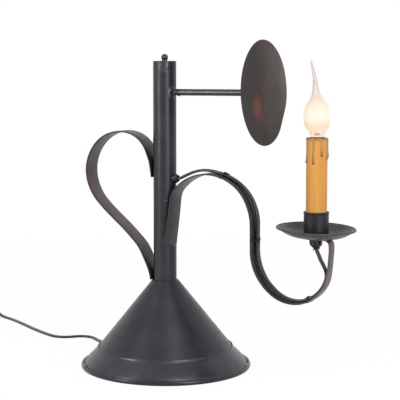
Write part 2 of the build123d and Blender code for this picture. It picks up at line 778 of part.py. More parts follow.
contact_height = 1.6
with BuildPart() as socket_contact:
    with BuildSketch(Plane.XY.offset(shell_low)):
        with Locations((candle_x, 0)):
            Rectangle(bulb_tip_diameter, bulb_tip_diameter)
    extrude(amount=contact_height)
    chamfer(socket_contact.faces().sort_by(Axis.Z)[-1].edges(), contact_height / 2)
socket_contact.part.label = "socket_contact"
export_step(socket_contact.part, "parts/socket_contact.step")

wire_low = nipple_low + lead_width
with BuildPart() as socket_wires:
    with BuildSketch(Plane.XY.offset(nipple_high)):
        with Locations((candle_x + 2 * wire_spread, wire_spread), (candle_x + 2 * wire_spread, -wire_spread)):
            Circle(wire_diameter / 2)
    extrude(amount=socket_low + wire_diameter - touch_gap - nipple_high)
socket_wires.part.label = "socket_wires"
export_step(socket_wires.part, "parts/socket_wires.step")

# Candle sleeve with the drips of its wax finish
with BuildPart() as candle_sleeve:
    with BuildSketch(Plane.XY.offset(sleeve_low)):
        with Locations((candle_x, 0)):
            Circle(sleeve_radius)
            Circle(sleeve_radius - sleeve_wall, mode=Mode.SUBTRACT)
    extrude(amount=sleeve_length)
    for drip in range(drip_count):
        drip_angle = radians(first_drip_angle + 360 / drip_count * drip)
        drip_length = 22.5 + 4 * cos(1.2 * drip - 0.6)
        drip_x = candle_x + (sleeve_radius - 0.3 * drip_radius) * cos(drip_angle)
        drip_y = (sleeve_radius - 0.3 * drip_radius) * sin(drip_angle)
        with BuildSketch(Plane.XY.offset(sleeve_top - drip_length)):
            with Locations((drip_x, drip_y)):
                Circle(drip_radius)
        extrude(amount=drip_length - drip_radius)
        with Locations((drip_x, drip_y, sleeve_top - drip_length), (drip_x, drip_y, sleeve_top - drip_radius)):
            Sphere(drip_radius)
    with BuildSketch(Plane.XY.offset(sleeve_low)):
        with Locations((candle_x, 0)):
            Circle(sleeve_radius - sleeve_wall)
    extrude(amount=sleeve_length, mode=Mode.SUBTRACT)
candle_sleeve.part.label = "candle_sleeve"
export_step(candle_sleeve.part, "parts/candle_sleeve.step")

# Bulb: a screw cap, a contact tip and a flame envelope drawn out into a leaning tail
tip_low = shell_low + contact_height + slip
cap_low = tip_low + bulb_tip_height
cap_high = cap_low + bulb_cap_length
with BuildPart() as bulb_tip:
    with BuildSketch(Plane.XY.offset(tip_low)):
        with Locations((candle_x, 0)):
            Circle(bulb_tip_diameter / 2)
    extrude(amount=bulb_tip_height - touch_gap)
    fillet(bulb_tip.faces().sort_by(Axis.Z)[0].edges(), bulb_tip_height / 3)
bulb_tip.part.label = "bulb_tip"
export_step(bulb_tip.part, "parts/bulb_tip.step")

thread_turns = 5
thread_depth = 0.5
with BuildPart() as bulb_cap:
    with BuildSketch(Plane.XY.offset(cap_low)):
        with Locations((candle_x, 0)):
            Circle(bulb_tip_diameter / 2 + 1)
    with BuildSketch(Plane.XY.offset(cap_low + 2)):
        with Locations((candle_x, 0)):
            Circle(bulb_cap_diameter / 2)
    loft()
    with BuildSketch(Plane.XY.offset(cap_low + 2)):
        with Locations((candle_x, 0)):
            Circle(bulb_cap_diameter / 2)
    extrude(amount=bulb_cap_length - 2)
    for thread in range(thread_turns):
        with BuildSketch(candle_plane):
            with Locations((bulb_cap_diameter / 2 + thread_depth / 2, cap_low + 4 + 2 * thread)):
                Circle(thread_depth)
        revolve(axis=candle_axis, mode=Mode.SUBTRACT)
bulb_cap.part.label = "bulb_cap"
export_step(bulb_cap.part, "parts/bulb_cap.step")

neck_low = cap_high + touch_gap
belly_z = neck_low + bulb_neck_length + bulb_belly_height
bulb_foot = neck_low + bulb_neck_length
shoulder_z = bulb_foot + bulb_shoulder_height
tail_top = bulb_foot + bulb_tail_height
tail_steps = 5
with BuildPart() as bulb_flame:
    with BuildSketch(candle_plane):
        with BuildLine():
            Polyline(
                (bulb_neck_diameter / 2, bulb_foot),
                (bulb_neck_diameter / 2, neck_low),
                (0, neck_low),
                (0, shoulder_z),
                (bulb_shoulder_diameter / 2, shoulder_z),
            )
            Spline(
                (bulb_shoulder_diameter / 2, shoulder_z),
                (bulb_diameter / 2 * 0.86, belly_z + 11),
                (bulb_diameter / 2, belly_z),
                (bulb_diameter / 2 * 0.92, belly_z - 9),
                (bulb_neck_diameter / 2, bulb_foot),
                tangents=((0.55, -1), (-0.55, -1)),
            )
        make_face()
    revolve(axis=candle_axis)
    for step in range(tail_steps + 1):
        share = step / tail_steps
        lean_here = bulb_tail_lean * share**1.25
        tail_radius = 0.8 + (bulb_shoulder_diameter / 2 - 0.8) * (1 - share) ** 1.6
        with BuildSketch(Plane.XY.offset(shoulder_z - 0.5 + (tail_top - shoulder_z + 0.5) * share)):
            with Locations((candle_x - lean_here, 0)):
                Circle(tail_radius)
    loft()
bulb_flame.part.label = "bulb_flame"
export_step(bulb_flame.part, "parts/bulb_flame.step")

# Lead inside the base and the column, from the base bushing to the column bushing
with BuildPart() as base_bushing:
    with BuildSketch(exit_plane.offset(bushing_inner)):
        Circle(base_bushing_diameter / 2)
    extrude(amount=skirt_exit_radius + 1 - bushing_inner)
    with BuildSketch(exit_plane.offset(skirt_exit_radius + 1)):
        Circle(base_bushing_diameter / 2)
    with BuildSketch(exit_plane.offset(bushing_outer)):
        Circle(base_bushing_tip / 2)
    loft()
    with BuildSketch(exit_plane.offset(bushing_inner - base_bushing_inside)):
        Circle(base_bushing_diameter / 2 + 1)
    extrude(amount=base_bushing_inside)
    with BuildSketch(exit_plane.offset(bushing_inner - base_bushing_inside)):
        Circle(inner_lead_radius + touch_gap)
    extrude(amount=bushing_outer, mode=Mode.SUBTRACT)
base_bushing.part.label = "base_bushing"
export_step(base_bushing.part, "parts/base_bushing.step")


def on_exit(reach, height):
    # a point in the upright plane through the column axis and the cord's exit
    return (reach * exit_direction[0], reach * exit_direction[1], height)


lead_climb = ballast_diameter / 2 + 2 * inner_lead_diameter
with BuildPart() as column_lead:
    with BuildLine() as inner_path:
        FilletPolyline(
            on_exit(bushing_outer, cord_exit_height),
            on_exit(lead_climb, cord_exit_height),
            on_exit(lead_climb - inner_lead_diameter, entry_height),
            on_exit(0, entry_height),
            (0, 0, lead_exit_z),
            (column_radius, 0, lead_exit_z),
            radius=inner_lead_bend,
        )
    with BuildSketch(exit_plane.offset(bushing_outer)):
        Circle(inner_lead_radius)
    sweep(path=inner_path.wire())
column_lead.part.label = "column_lead"
export_step(column_lead.part, "parts/column_lead.step")

# Supply cord on the floor. Its points are the control points of its route.
switch_height = switch_thickness / 2
supply_route = [
    on_exit(bushing_outer, cord_exit_height),
    on_exit(bushing_outer + 8, cord_exit_height),
    on_exit(bushing_outer + 23.5, cord_rest),
    (-131.5, 62, cord_rest),
    (-146.5, 72.6, cord_rest),
    (-156.9, 73.9, cord_rest),
    (-166.5, 69.6, cord_rest),
    (-172.8, 60.6, cord_rest),
    (-181.5, 55.6, cord_rest),
    (-191.5, 54.7, cord_rest),
    (-208, 61.4, cord_rest),
    (-236, 75.5, cord_rest),
    (-268, 94.5, cord_rest),
    (-300, 112.5, cord_rest),
    (-326, 122.5, cord_rest),
    (-342, 129.3, switch_height),
    (-352, 133.6, switch_height),
]
far_way = Vector(*supply_route[-1]) - Vector(*supply_route[-2])
far_angle = atan2(far_way.Y, far_way.X)
far_direction = Vector(cos(far_angle), sin(far_angle), 0)
lead_start = Vector(*supply_route[-1]) + far_direction * switch_length
drop_to_floor = Vector(0, 0, cord_rest - switch_height)
lead_route = [
    tuple(lead_start),
    tuple(lead_start + far_direction * (0.25 * switch_lead_length)),
    tuple(lead_start + far_direction * (0.75 * switch_lead_length) + drop_to_floor),
    tuple(lead_start + far_direction * switch_lead_length + drop_to_floor),
]
coil_angle = far_angle - pi / 2
coil_start = lead_start + far_direction * (switch_lead_length + cord_diameter) + drop_to_floor
coil_x = coil_start.X - coil_outer_radius * cos(coil_angle)
coil_y = coil_start.Y - coil_outer_radius * sin(coil_angle)


def corner_radii(route, name):
    # the largest arc that each pair of runs allows, printed with the diameter that it is compared with
    radii = []
    for a, b, c in zip(route, route[1:], route[2:]):
        first, second = Vector(*b) - Vector(*a), Vector(*c) - Vector(*b)
        half_turn = radians(first.get_angle(second)) / 2
        radii.append(0.45 * min(first.length, second.length) / tan(half_turn))
    print(name, "radii", [round(r, 1) for r in radii], "diameter", cord_diameter)
    return radii


def cord_tube(route, name):
    # a round tube of straight runs joined by tangent arcs
    with BuildPart() as tube:
        with BuildLine() as path:
            FilletPolyline(*route, radius=corner_radii(route, name))
        start = Vector(*route[0])
        with BuildSketch(Plane(origin=start, z_dir=Vector(*route[1]) - start)):
            Circle(cord_diameter / 2)
        sweep(path=path.wire())
    length = path.wire().length
    section = pi * cord_diameter**2 / 4
    print(name, "length", round(length, 1), "volume share", round(tube.part.volume / (length * section), 4))
    tube.part.label = name
    export_step(tube.part, "parts/" + name + ".step")
    return length


supply_length = cord_tube(supply_route, "supply_cord")
lead_on_length = cord_tube(lead_route, "switch_cord")

# Coil: half turns that spiral in on the floor, climb a layer, and spiral out again on top
coil_points = []
coil_tangents = []
half_turns = coil_half_turns_in + 1 + coil_half_turns_out
inner_radius = coil_outer_radius - coil_half_turns_in * coil_pitch / 2
for k in range(half_turns + 1):
    angle = coil_angle + pi * k
    if k <= coil_half_turns_in:
        radius = coil_outer_radius - k * coil_pitch / 2
        height = cord_rest
    else:
        radius = inner_radius + (k - coil_half_turns_in - 1) * coil_pitch / 2
        height = cord_rest + coil_rise
    if k == coil_half_turns_in + 1:
        radius = inner_radius - coil_pitch / 4
    coil_points.append(Vector(coil_x + radius * cos(angle), coil_y + radius * sin(angle), height))
    coil_tangents.append(Vector(-sin(angle), cos(angle), 0))

coil_top = cord_rest + coil_rise
with BuildPart() as cord_coil:
    with BuildLine() as coil_path:
        Line(coil_points[0] - coil_tangents[0] * cord_diameter, coil_points[0])
        for k in range(half_turns):
            span = coil_points[k + 1] - coil_points[k]
            middle_point = (coil_points[k] + coil_points[k + 1]) * 0.5 + coil_tangents[k] * (span.length / 2)
            ThreePointArc(coil_points[k], middle_point, coil_points[k + 1])
        Line(coil_points[-1], coil_points[-1] + coil_tangents[-1] * coil_tail)
    with BuildSketch(Plane(origin=coil_points[0] - coil_tangents[0] * cord_diameter, z_dir=coil_tangents[0])):
        Circle(cord_diameter / 2)
    sweep(path=coil_path.wire())
cord_coil.part.label = "cord_coil"
export_step(cord_coil.part, "parts/cord_coil.step")
coil_wire = coil_path.wire()
coil_length = coil_wire.length
coil_section = pi * cord_diameter**2 / 4
print("cord_coil length", round(coil_length, 1), "volume share", round(cord_coil.part.volume / (coil_length * coil_section), 4))
samples = [coil_wire.position_at(i / 900) for i in range(901)]
sample_step = coil_length / 900
apart = ceil(3 * cord_diameter / sample_step)
least = min((samples[i] - samples[j]).length for i in range(901) for j in range(i + apart, 901))
print("coil gap to itself", round(least - cord_diameter, 2))

tie_ring_radius = cord_diameter + 0.6
coil_middle_radius = (coil_outer_radius + inner_radius) / 2
with BuildPart() as coil_tie:
    tie_spot = Vector(cos(coil_angle + pi), sin(coil_angle + pi), 0)
    tie_plane = Plane(
        origin=Vector(coil_x, coil_y, cord_rest + coil_rise / 2) + tie_spot * coil_middle_radius,
        x_dir=tie_spot,
        z_dir=Vector(0, 0, 1).cross(tie_spot),
    )
    tie_inside_x = coil_outer_radius - inner_radius + coil_pitch + cord_diameter + 1
    tie_inside_z = coil_rise + cord_diameter
    with BuildSketch(tie_plane):
        RectangleRounded(tie_inside_x + 2 * tie_thickness, tie_inside_z + 1 + 2 * tie_thickness, tie_thickness)
        Rectangle(tie_inside_x, tie_inside_z + 1, mode=Mode.SUBTRACT)
    extrude(amount=tie_width, both=True)
coil_tie.part.label = "coil_tie"
export_step(coil_tie.part, "parts/coil_tie.step")

# Plug: a moulded body with two flat blades, lying beside the coil
plug_start = coil_points[-1] + coil_tangents[-1] * coil_tail
plug_axis = coil_tangents[-1]
plug_side = Vector(0, 0, 1).cross(plug_axis)
plug_thickness = 2 * coil_top
plug_sections = [
    (0, 0.52 * plug_width, 0.55 * plug_thickness),
    (0.35 * plug_length, 0.62 * plug_width, 0.7 * plug_thickness),
    (0.6 * plug_length, plug_width, plug_thickness),
    (plug_length, plug_width, plug_thickness),
]
with BuildPart() as plug_body:
    for along_plug, width, height in plug_sections:
        with BuildSketch(Plane(origin=plug_start + plug_axis * along_plug, x_dir=plug_side, z_dir=plug_axis)):
            RectangleRounded(width, height, height / 3)
    loft(ruled=True)
plug_body.part.label = "plug_body"
export_step(plug_body.part, "parts/plug_body.step")

with BuildPart() as plug_blades:
    with BuildSketch(Plane(origin=plug_start + plug_axis * plug_length, x_dir=plug_side, z_dir=plug_axis)):
        with GridLocations(blade_spacing, 0, 2, 1):
            Rectangle(blade_thickness, blade_width)
    extrude(amount=blade_length)
plug_blades.part.label = "plug_blades"
export_step(plug_blades.part, "parts/plug_blades.step")

# In-line switch: a two-part case round a thumb wheel
switch_start = Vector(*supply_route[-1])
switch_axis = (Vector(*lead_route[0]) - switch_start).normalized()
switch_side = Vector(0, 0, 1).cross(switch_axis)
switch_middle = switch_start + (Vector(*lead_route[0]) - switch_start) * 0.5
real_switch_length = (Vector(*lead_route[0]) - switch_start).length
switch_plane = Plane(origin=switch_middle, x_dir=switch_axis, z_dir=(0, 0, 1))
half_length = real_switch_length / 2
wheel_radius = wheel_diameter / 2
seam_gap = 0.05


def switch_half(up):
    # one half of the case, split at the cord's height, with its share of the wheel's slot
    with BuildPart() as half:
        with BuildSketch(switch_plane.offset(up * seam_gap / 2)):
            with BuildLine():
                Polyline(
                    (-half_length, switch_end_width / 2),
                    (-half_length * 0.55, switch_width / 2),
                    (half_length * 0.55, switch_width / 2),
                    (half_length, switch_end_width / 2),
                    (half_length, -switch_end_width / 2),
                    (half_length * 0.55, -switch_width / 2),
                    (-half_length * 0.55, -switch_width / 2),
                    (-half_length, -switch_end_width / 2),
                    close=True,
                )
            make_face()
        extrude(amount=up * (switch_thickness - seam_gap) / 2)
        far_face = half.faces().sort_by(Axis.Z)[-1 if up > 0 else 0]
        if up > 0:
            fillet(far_face.edges(), switch_thickness / 7)
        with BuildSketch(switch_plane):
            with Locations((wheel_forward, wheel_offset)):
                Circle(wheel_radius + wheel_gap)
        extrude(amount=up * (wheel_thickness / 2 + wheel_gap), mode=Mode.SUBTRACT)
        if up < 0:
            with BuildSketch(switch_plane.offset(-wheel_thickness / 2 - wheel_gap - 1)):
                with Locations((wheel_forward, wheel_offset)):
                    Circle(wheel_bore / 2)
            extrude(amount=wheel_thickness / 2 + wheel_gap + 1)
        else:
            with BuildSketch(switch_plane):
                with Locations((wheel_forward, wheel_offset)):
                    Circle(wheel_bore / 2 + wheel_gap)
            extrude(amount=wheel_thickness, mode=Mode.SUBTRACT)
    return half


switch_base = switch_half(-1)
switch_base.part.label = "switch_base"
export_step(switch_base.part, "parts/switch_base.step")
switch_cover = switch_half(1)
switch_cover.part.label = "switch_cover"
export_step(switch_cover.part, "parts/switch_cover.step")

wheel_ribs = 16
with BuildPart() as switch_wheel:
    with BuildSketch(switch_plane.offset(-wheel_thickness / 2)):
        with Locations((wheel_forward, wheel_offset)):
            Circle(wheel_radius)
            Circle(wheel_bore / 2 + rod_fit, mode=Mode.SUBTRACT)
            with PolarLocations(wheel_radius, wheel_ribs):
                Circle(0.5, mode=Mode.SUBTRACT)
    extrude(amount=wheel_thickness)
switch_wheel.part.label = "switch_wheel"
export_step(switch_wheel.part, "parts/switch_wheel.step")

print("candle axis x", round(candle_x, 2), "tongue z", round(tongue_z, 2), "sleeve top", round(sleeve_top, 2))
print("bulb belly", round(belly_z, 1), "bulb foot", round(bulb_foot, 1), "tail top", round(tail_top, 1))
wheel_centre = switch_plane.from_local_coords(Vector(wheel_forward, wheel_offset, 0))
print("wheel centre", wheel_centre)
print("plug tips", plug_start + plug_axis * (plug_length + blade_length), "way", plug_axis)
print("cord length", round(supply_length + real_switch_length + lead_on_length + coil_length, 1))
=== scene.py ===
import json
from math import asin, atan2, ceil, cos, degrees, exp, pi, radians, sin, sqrt

import bmesh
import bpy
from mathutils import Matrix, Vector, noise


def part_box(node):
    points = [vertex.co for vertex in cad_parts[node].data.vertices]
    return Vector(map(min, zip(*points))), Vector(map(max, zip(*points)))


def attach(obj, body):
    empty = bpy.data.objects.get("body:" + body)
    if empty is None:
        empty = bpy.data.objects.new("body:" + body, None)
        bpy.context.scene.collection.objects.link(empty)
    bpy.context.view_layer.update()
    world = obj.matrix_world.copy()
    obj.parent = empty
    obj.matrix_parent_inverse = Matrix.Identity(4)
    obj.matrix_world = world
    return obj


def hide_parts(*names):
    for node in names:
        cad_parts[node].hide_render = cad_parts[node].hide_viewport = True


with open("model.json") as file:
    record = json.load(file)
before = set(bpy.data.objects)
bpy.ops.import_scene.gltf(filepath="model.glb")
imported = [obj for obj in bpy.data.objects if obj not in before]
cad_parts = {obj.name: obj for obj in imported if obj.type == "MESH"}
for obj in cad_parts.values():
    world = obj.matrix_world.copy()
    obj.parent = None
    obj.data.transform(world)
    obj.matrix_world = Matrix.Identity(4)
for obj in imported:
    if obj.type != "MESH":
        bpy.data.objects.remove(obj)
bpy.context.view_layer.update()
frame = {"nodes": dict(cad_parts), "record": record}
nodes = frame["nodes"]
scene = bpy.context.scene
MM = 0.001
MERGE = 0.000002
TRACE_STEP = 1.0
CORNER_STEPS = 3
WIRE_STEPS = 9
WEB_SHARE = 0.8


# Shared helpers: outlines, paths and shapes are in millimetres, and make_mesh turns them into metres


def put(name, data):
    """a new object in the scene"""
    obj = bpy.data.objects.new(name, data)
    scene.collection.objects.link(obj)
    return obj


def make_mesh(name, shape, material, split, body="lamp"):
    """a smooth piece from verts and faces, with sharp edges where it turns by more than split degrees"""
    verts, faces = shape
    mesh = bpy.data.meshes.new(name)
    mesh.from_pydata([tuple(c * MM for c in v) for v in verts], [], faces)
    built = bmesh.new()
    built.from_mesh(mesh)
    bmesh.ops.remove_doubles(built, verts=built.verts, dist=MERGE)
    bmesh.ops.recalc_face_normals(built, faces=built.faces)
    built.to_mesh(mesh)
    built.free()
    mesh.shade_smooth()
    mesh.set_sharp_from_angle(angle=radians(split))
    mesh.materials.append(material)
    obj = put(name, mesh)
    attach(obj, body)
    return obj


def turns(steps):
    return [2 * pi * i / steps for i in range(steps)]


def way(angle):
    return Vector((cos(angle), sin(angle), 0))


def wobble(*place):
    return noise.noise(Vector(place))


def hump(x, middle, reach):
    """1 at the middle, and less away from it"""
    return exp(-((x - middle) / reach) ** 2)


def fade(x, reach):
    """1 where x is 0, and 0 from reach on"""
    return max(0.0, 1 - x / reach)


def smooth_step(t):
    return t * t * (3 - 2 * t)


def along(path):
    """how far along a traced path each of its points is"""
    out = [0.0]
    for (x0, z0, _), (x1, z1, _) in zip(path, path[1:]):
        out.append(out[-1] + sqrt((x1 - x0) ** 2 + (z1 - z0) ** 2))
    return out


def lathe(profile, centre, axis="Z", steps=128):
    """verts and faces of a closed outline of (radius, height) pairs turned about an axis"""
    cx, cy, cz = centre
    n = len(profile)
    verts, faces = [], []
    for i, a in enumerate(turns(steps)):
        j = (i + 1) % steps
        for k, (r, h) in enumerate(profile):
            m = (k + 1) % n
            face = (i * n + k, j * n + k, j * n + m, i * n + m)
            if axis == "Z":
                verts.append((cx + r * cos(a), cy + r * sin(a), cz + h))
                faces.append(face)
            else:
                verts.append((cx + h, cy + r * sin(a), cz + r * cos(a)))
                faces.append(face[::-1])
    return verts, faces


def trace(start, heading, steps):
    """(x, z, heading) along runs and arcs in the XZ plane; ("run", length) or ("arc", radius, turn)"""
    x, z = start
    h = heading
    out = [(x, z, h)]
    for step in steps:
        if step[0] == "run":
            n = max(1, ceil(step[1] / TRACE_STEP))
            for i in range(n):
                x += step[1] / n * cos(radians(h))
                z += step[1] / n * sin(radians(h))
                out.append((x, z, h))
        else:
            radius, turn = step[1:]
            n = max(2, ceil(abs(radians(turn)) * radius / TRACE_STEP))
            bend = radius if turn > 0 else -radius
            cx = x - bend * sin(radians(h))
            cz = z + bend * cos(radians(h))
            for i in range(1, n + 1):
                a = h + turn * i / n
                out.append((cx + bend * sin(radians(a)), cz - bend * cos(radians(a)), a))
            x, z, h = out[-1]
    return out


def skin(rings, cap=True):
    """verts and faces of a tube through rings of equal length"""
    n = len(rings[0])
    verts = [p for ring in rings for p in ring]
    faces = []
    for i in range(len(rings) - 1):
        for k in range(n):
            m = (k + 1) % n
            faces.append((i * n + k, i * n + m, (i + 1) * n + m, (i + 1) * n + k))
    if cap:
        faces.append(tuple(reversed(range(n))))
        faces.append(tuple((len(rings) - 1) * n + k for k in range(n)))
    return verts, faces


def rounded_box(width, height, r):
    """outline of a rounded rectangle as (across, up) pairs"""
    out = []
    for right, top, start in ((1, 1, 0), (-1, 1, 90), (-1, -1, 180), (1, -1, 270)):
        for i in range(CORNER_STEPS + 1):
            a = radians(start + 90 * i / CORNER_STEPS)
            out.append((right * (width / 2 - r) + r * cos(a), top * (height / 2 - r) + r * sin(a)))
    return out


def twin_outline(width, thick):
    """outline of a flat twin lead: two round wires with a web between them"""
    r = thick / 2
    web = degrees(asin(WEB_SHARE))
    out = []
    for side, start in ((1, web - 180), (-1, web)):
        for i in range(WIRE_STEPS + 1):
            a = radians(start + (360 - 2 * web) * i / WIRE_STEPS)
            out.append((side * (width / 2 - r) + r * cos(a), r * sin(a)))
    return out


# Material helpers


def shader(name):
    mat = bpy.data.materials.new(name)
    mat.use_nodes = True
    return mat, mat.node_tree, mat.node_tree.nodes["Principled BSDF"]


def feed(made, inputs):
    """set a node's sockets, or link them where the value is another node's output"""
    for key, value in inputs.items():
        if isinstance(value, bpy.types.NodeSocket):
            made.id_data.links.new(value, made.inputs[key])
        else:
            made.inputs[key].default_value = value


def node(tree, kind, inputs=None, **settings):
    made = tree.nodes.new("ShaderNode" + kind)
    for key, value in settings.items():
        setattr(made, key, value)
    feed(made, inputs or {})
    return made


def calc(tree, operation, first, second):
    return node(tree, "Math", {0: first, 1: second}, operation=operation).outputs[0]


def object_place(tree):
    return node(tree, "TexCoord").outputs["Object"]


def place_on(tree, axis):
    """the place along one of the object's axes, in metres"""
    return node(tree, "SeparateXYZ", {"Vector": object_place(tree)}).outputs[axis]


def remap(tree, source, low, high, to_low, to_high):
    """a value carried from one range onto another"""
    return node(tree, "MapRange", {
        "Value": source, "From Min": low, "From Max": high, "To Min": to_low, "To Max": to_high,
    }).outputs["Result"]


def add_noise(tree, scale, detail=3.0, rough=0.5, stretch=None):
    place = object_place(tree)
    if stretch:
        place = node(tree, "Mapping", {"Vector": place, "Scale": stretch}).outputs["Vector"]
    sockets = {"Vector": place, "Scale": scale, "Detail": detail, "Roughness": rough}
    return node(tree, "TexNoise", sockets).outputs["Fac"]


def ramp(tree, source, stops, interpolation="LINEAR"):
    """colours, or single numbers for greys, at their places on a ramp"""
    made = node(tree, "ValToRGB", {"Fac": source})
    made.color_ramp.interpolation = interpolation
    els = made.color_ramp.elements
    while len(els) < len(stops):
        els.new(0.5)
    for el, (at, colour) in zip(els, stops):
        el.position = at
        el.color = (*colour, 1) if isinstance(colour, tuple) else (colour, colour, colour, 1)
    return made.outputs["Color"]


def mix_colour(tree, factor, low, high):
    """low where factor is 0, high where it is 1, by the Mix node's colour sockets 6, 7 and 2"""
    return node(tree, "Mix", {"Factor": factor, 6: low, 7: high}, data_type="RGBA").outputs[2]


def add_bump(tree, bsdf, source, strength, distance, before=None):
    """bump a surface, over an earlier bump where one is given"""
    bump = node(tree, "Bump", {"Strength": strength, "Distance": distance, "Height": source})
    if before is not None:
        feed(bump, {"Normal": before})
    feed(bsdf, {"Normal": bump.outputs["Normal"]})
    return bump.outputs["Normal"]


def surface(name, dark, light, roughness, scale=40, bump=0.1, fine=900, metallic=0.0, specular=0.5):
    """a plain finish whose colour and roughness drift, with a fine grain"""
    mat, tree, bsdf = shader(name)
    drift = add_noise(tree, scale)
    feed(bsdf, {
        "Base Color": ramp(tree, drift, [(0.35, dark), (0.65, light)]),
        "Roughness": ramp(tree, drift, [(0.3, roughness - 0.05), (0.7, roughness + 0.05)]),
        "Metallic": metallic,
        "Specular IOR Level": specular,
    })
    add_bump(tree, bsdf, add_noise(tree, fine), bump, 0.0003)
    return mat


def paint(name, dark, light, roughness, specular, mottle=0.05, scale=45, fine=0.045):
    """satin paint on tin: uneven sheen, slight orange peel and fine dust"""
    mat, tree, bsdf = shader(name)
    drift = add_noise(tree, scale, detail=4)
    sheen = add_noise(tree, scale * 2.6, detail=5, rough=0.6)
    feed(bsdf, {
        "Base Color": ramp(tree, drift, [(0.38, dark), (0.62, light)]),
        "Roughness": ramp(tree, sheen, [(0.3, roughness - 0.05), (0.7, roughness + 0.07)]),
        "Specular IOR Level": specular,
    })
    peel = add_bump(tree, bsdf, add_noise(tree, 130, detail=2), mottle, 0.0006)
    add_bump(tree, bsdf, add_noise(tree, 1400, detail=2), fine, 0.00012, before=peel)
    return mat


def shade_along(mat, axis, stops, absolute=False):
    """multiply a paint's colour by a ramp along one of the object's axes, or by the distance from its middle: painted
    light and shade
    """
    tree = mat.node_tree
    bsdf = tree.nodes["Principled BSDF"]
    # a ramp starts at 0, so places that can be negative are moved up
    shift = 0.0 if absolute else 0.1
    place = calc(tree, "ABSOLUTE" if absolute else "ADD", place_on(tree, axis), shift)
    shade = ramp(tree, place, [(at + shift, colour) for at, colour in stops])
    tone = bsdf.inputs["Base Color"].links[0].from_socket
    dim = node(tree, "VectorMath", {0: tone, 1: shade}, operation="MULTIPLY")
    feed(bsdf, {"Base Color": dim.outputs["Vector"]})


# Paints and plain finishes

black_paint = paint("black_paint", (0.0122, 0.0100, 0.0142), (0.0185, 0.0153, 0.0200), 0.33, 0.30, mottle=0.04)
solder_paint = paint("solder_paint", (0.011, 0.0105, 0.0145), (0.019, 0.018, 0.022), 0.27, 0.45, mottle=0.08, scale=90)
pan_paint = paint("pan_paint", (0.024, 0.0165, 0.0160), (0.040, 0.0290, 0.0280), 0.38, 0.34)
cup_paint = paint("cup_paint", (0.0085, 0.0072, 0.0105), (0.013, 0.011, 0.0155), 0.38, 0.29, mottle=0.04)
# painted light: the skirt and its crease get a lighter, bluer copy of the black paint
lit_skirt_paint = paint("lit_skirt_paint", (0.0140, 0.0132, 0.0187), (0.0205, 0.0195, 0.0262), 0.29, 0.38, mottle=0.02, fine=0.05)
rim_paint = paint("rim_paint", (0.0085, 0.0075, 0.0115), (0.0125, 0.011, 0.0155), 0.24, 0.34, mottle=0.03)
rod_paint = paint("rod_paint", (0.0095, 0.0082, 0.0125), (0.0145, 0.0125, 0.0175), 0.21, 0.5, mottle=0.02, fine=0.02)

# The arm's paint carries painted shade and light: dark at its root where it meets the column, darker and bluer along
# its lower bend, and paler and warmer towards the candle as a painted reflection; the handle's paint carries painted
# shade where its ends meet the column and along its edges
arm_paint = paint("arm_paint", (0.062, 0.0420, 0.0380), (0.092, 0.0660, 0.0600), 0.37, 0.30)
shade_along(arm_paint, "X", [
    (0.012, (0.15, 0.16, 0.17)), (0.015, (0.17, 0.18, 0.19)), (0.022, (0.42, 0.38, 0.38)), (0.060, (0.42, 0.38, 0.38)),
    (0.100, (0.20, 0.21, 0.25)), (0.150, (0.20, 0.21, 0.25)), (0.175, 0.75), (0.190, 1.0),
])
strap_paint = paint("strap_paint", (0.040, 0.0265, 0.0265), (0.060, 0.0415, 0.0415), 0.38, 0.34)
# painted shadow of the column: the handle's paint darkens towards the column
shade_along(strap_paint, "X", [(-0.058, 1.0), (-0.034, 0.8), (-0.014, 0.3)])
# painted shade along the strap's edges: darker towards its long edges
shade_along(strap_paint, "Y", [(0.0090, 1.0), (0.0101, 0.5), (0.0108, 0.3)], absolute=True)

black_lead = surface(
    "black_lead", (0.0085, 0.0078, 0.0092), (0.014, 0.0128, 0.015), 0.29, bump=0.015, fine=500, specular=0.42)
black_rubber = surface(
    "black_rubber", (0.007, 0.007, 0.008), (0.012, 0.012, 0.012), 0.42, bump=0.03, fine=500, specular=0.34)
wet_rubber = surface(
    "wet_rubber", (0.005, 0.005, 0.006), (0.010, 0.010, 0.010), 0.25, bump=0.02, fine=500, specular=0.34)
black_phenolic = surface("black_phenolic", (0.012, 0.012, 0.013), (0.020, 0.020, 0.021), 0.28, bump=0.03)
zinc_steel = surface("zinc_steel", (0.42, 0.43, 0.44), (0.55, 0.56, 0.57), 0.4, metallic=1.0)
grey_felt = surface("grey_felt", (0.03, 0.03, 0.033), (0.06, 0.06, 0.065), 0.95, bump=0.8, fine=1500)
raw_iron = surface("raw_iron", (0.05, 0.05, 0.05), (0.1, 0.1, 0.1), 0.6, bump=0.6, metallic=0.6)
brass_plain = surface("brass_plain", (0.55, 0.38, 0.15), (0.72, 0.52, 0.24), 0.3, metallic=1.0, bump=0.05)
phenolic = surface("phenolic", (0.02, 0.018, 0.016), (0.035, 0.03, 0.026), 0.45, bump=0.05)

# The disc's paint is paler and warmer towards its back edge and its top, a painted reflection, and it glows red at one
# spot, a painted reflection of the bulb
disc_paint, tree, bsdf = shader("disc_paint")
# painted reflection: the paint grows paler towards the back edge and the top
back = remap(tree, place_on(tree, "Y"), -0.03, 0.056, 0.0, 0.85)
top = remap(tree, place_on(tree, "Z"), 0.295, 0.36, 0.0, 0.22)
cloud = remap(tree, add_noise(tree, 34, detail=4), 0.3, 0.7, -0.06, 0.1)
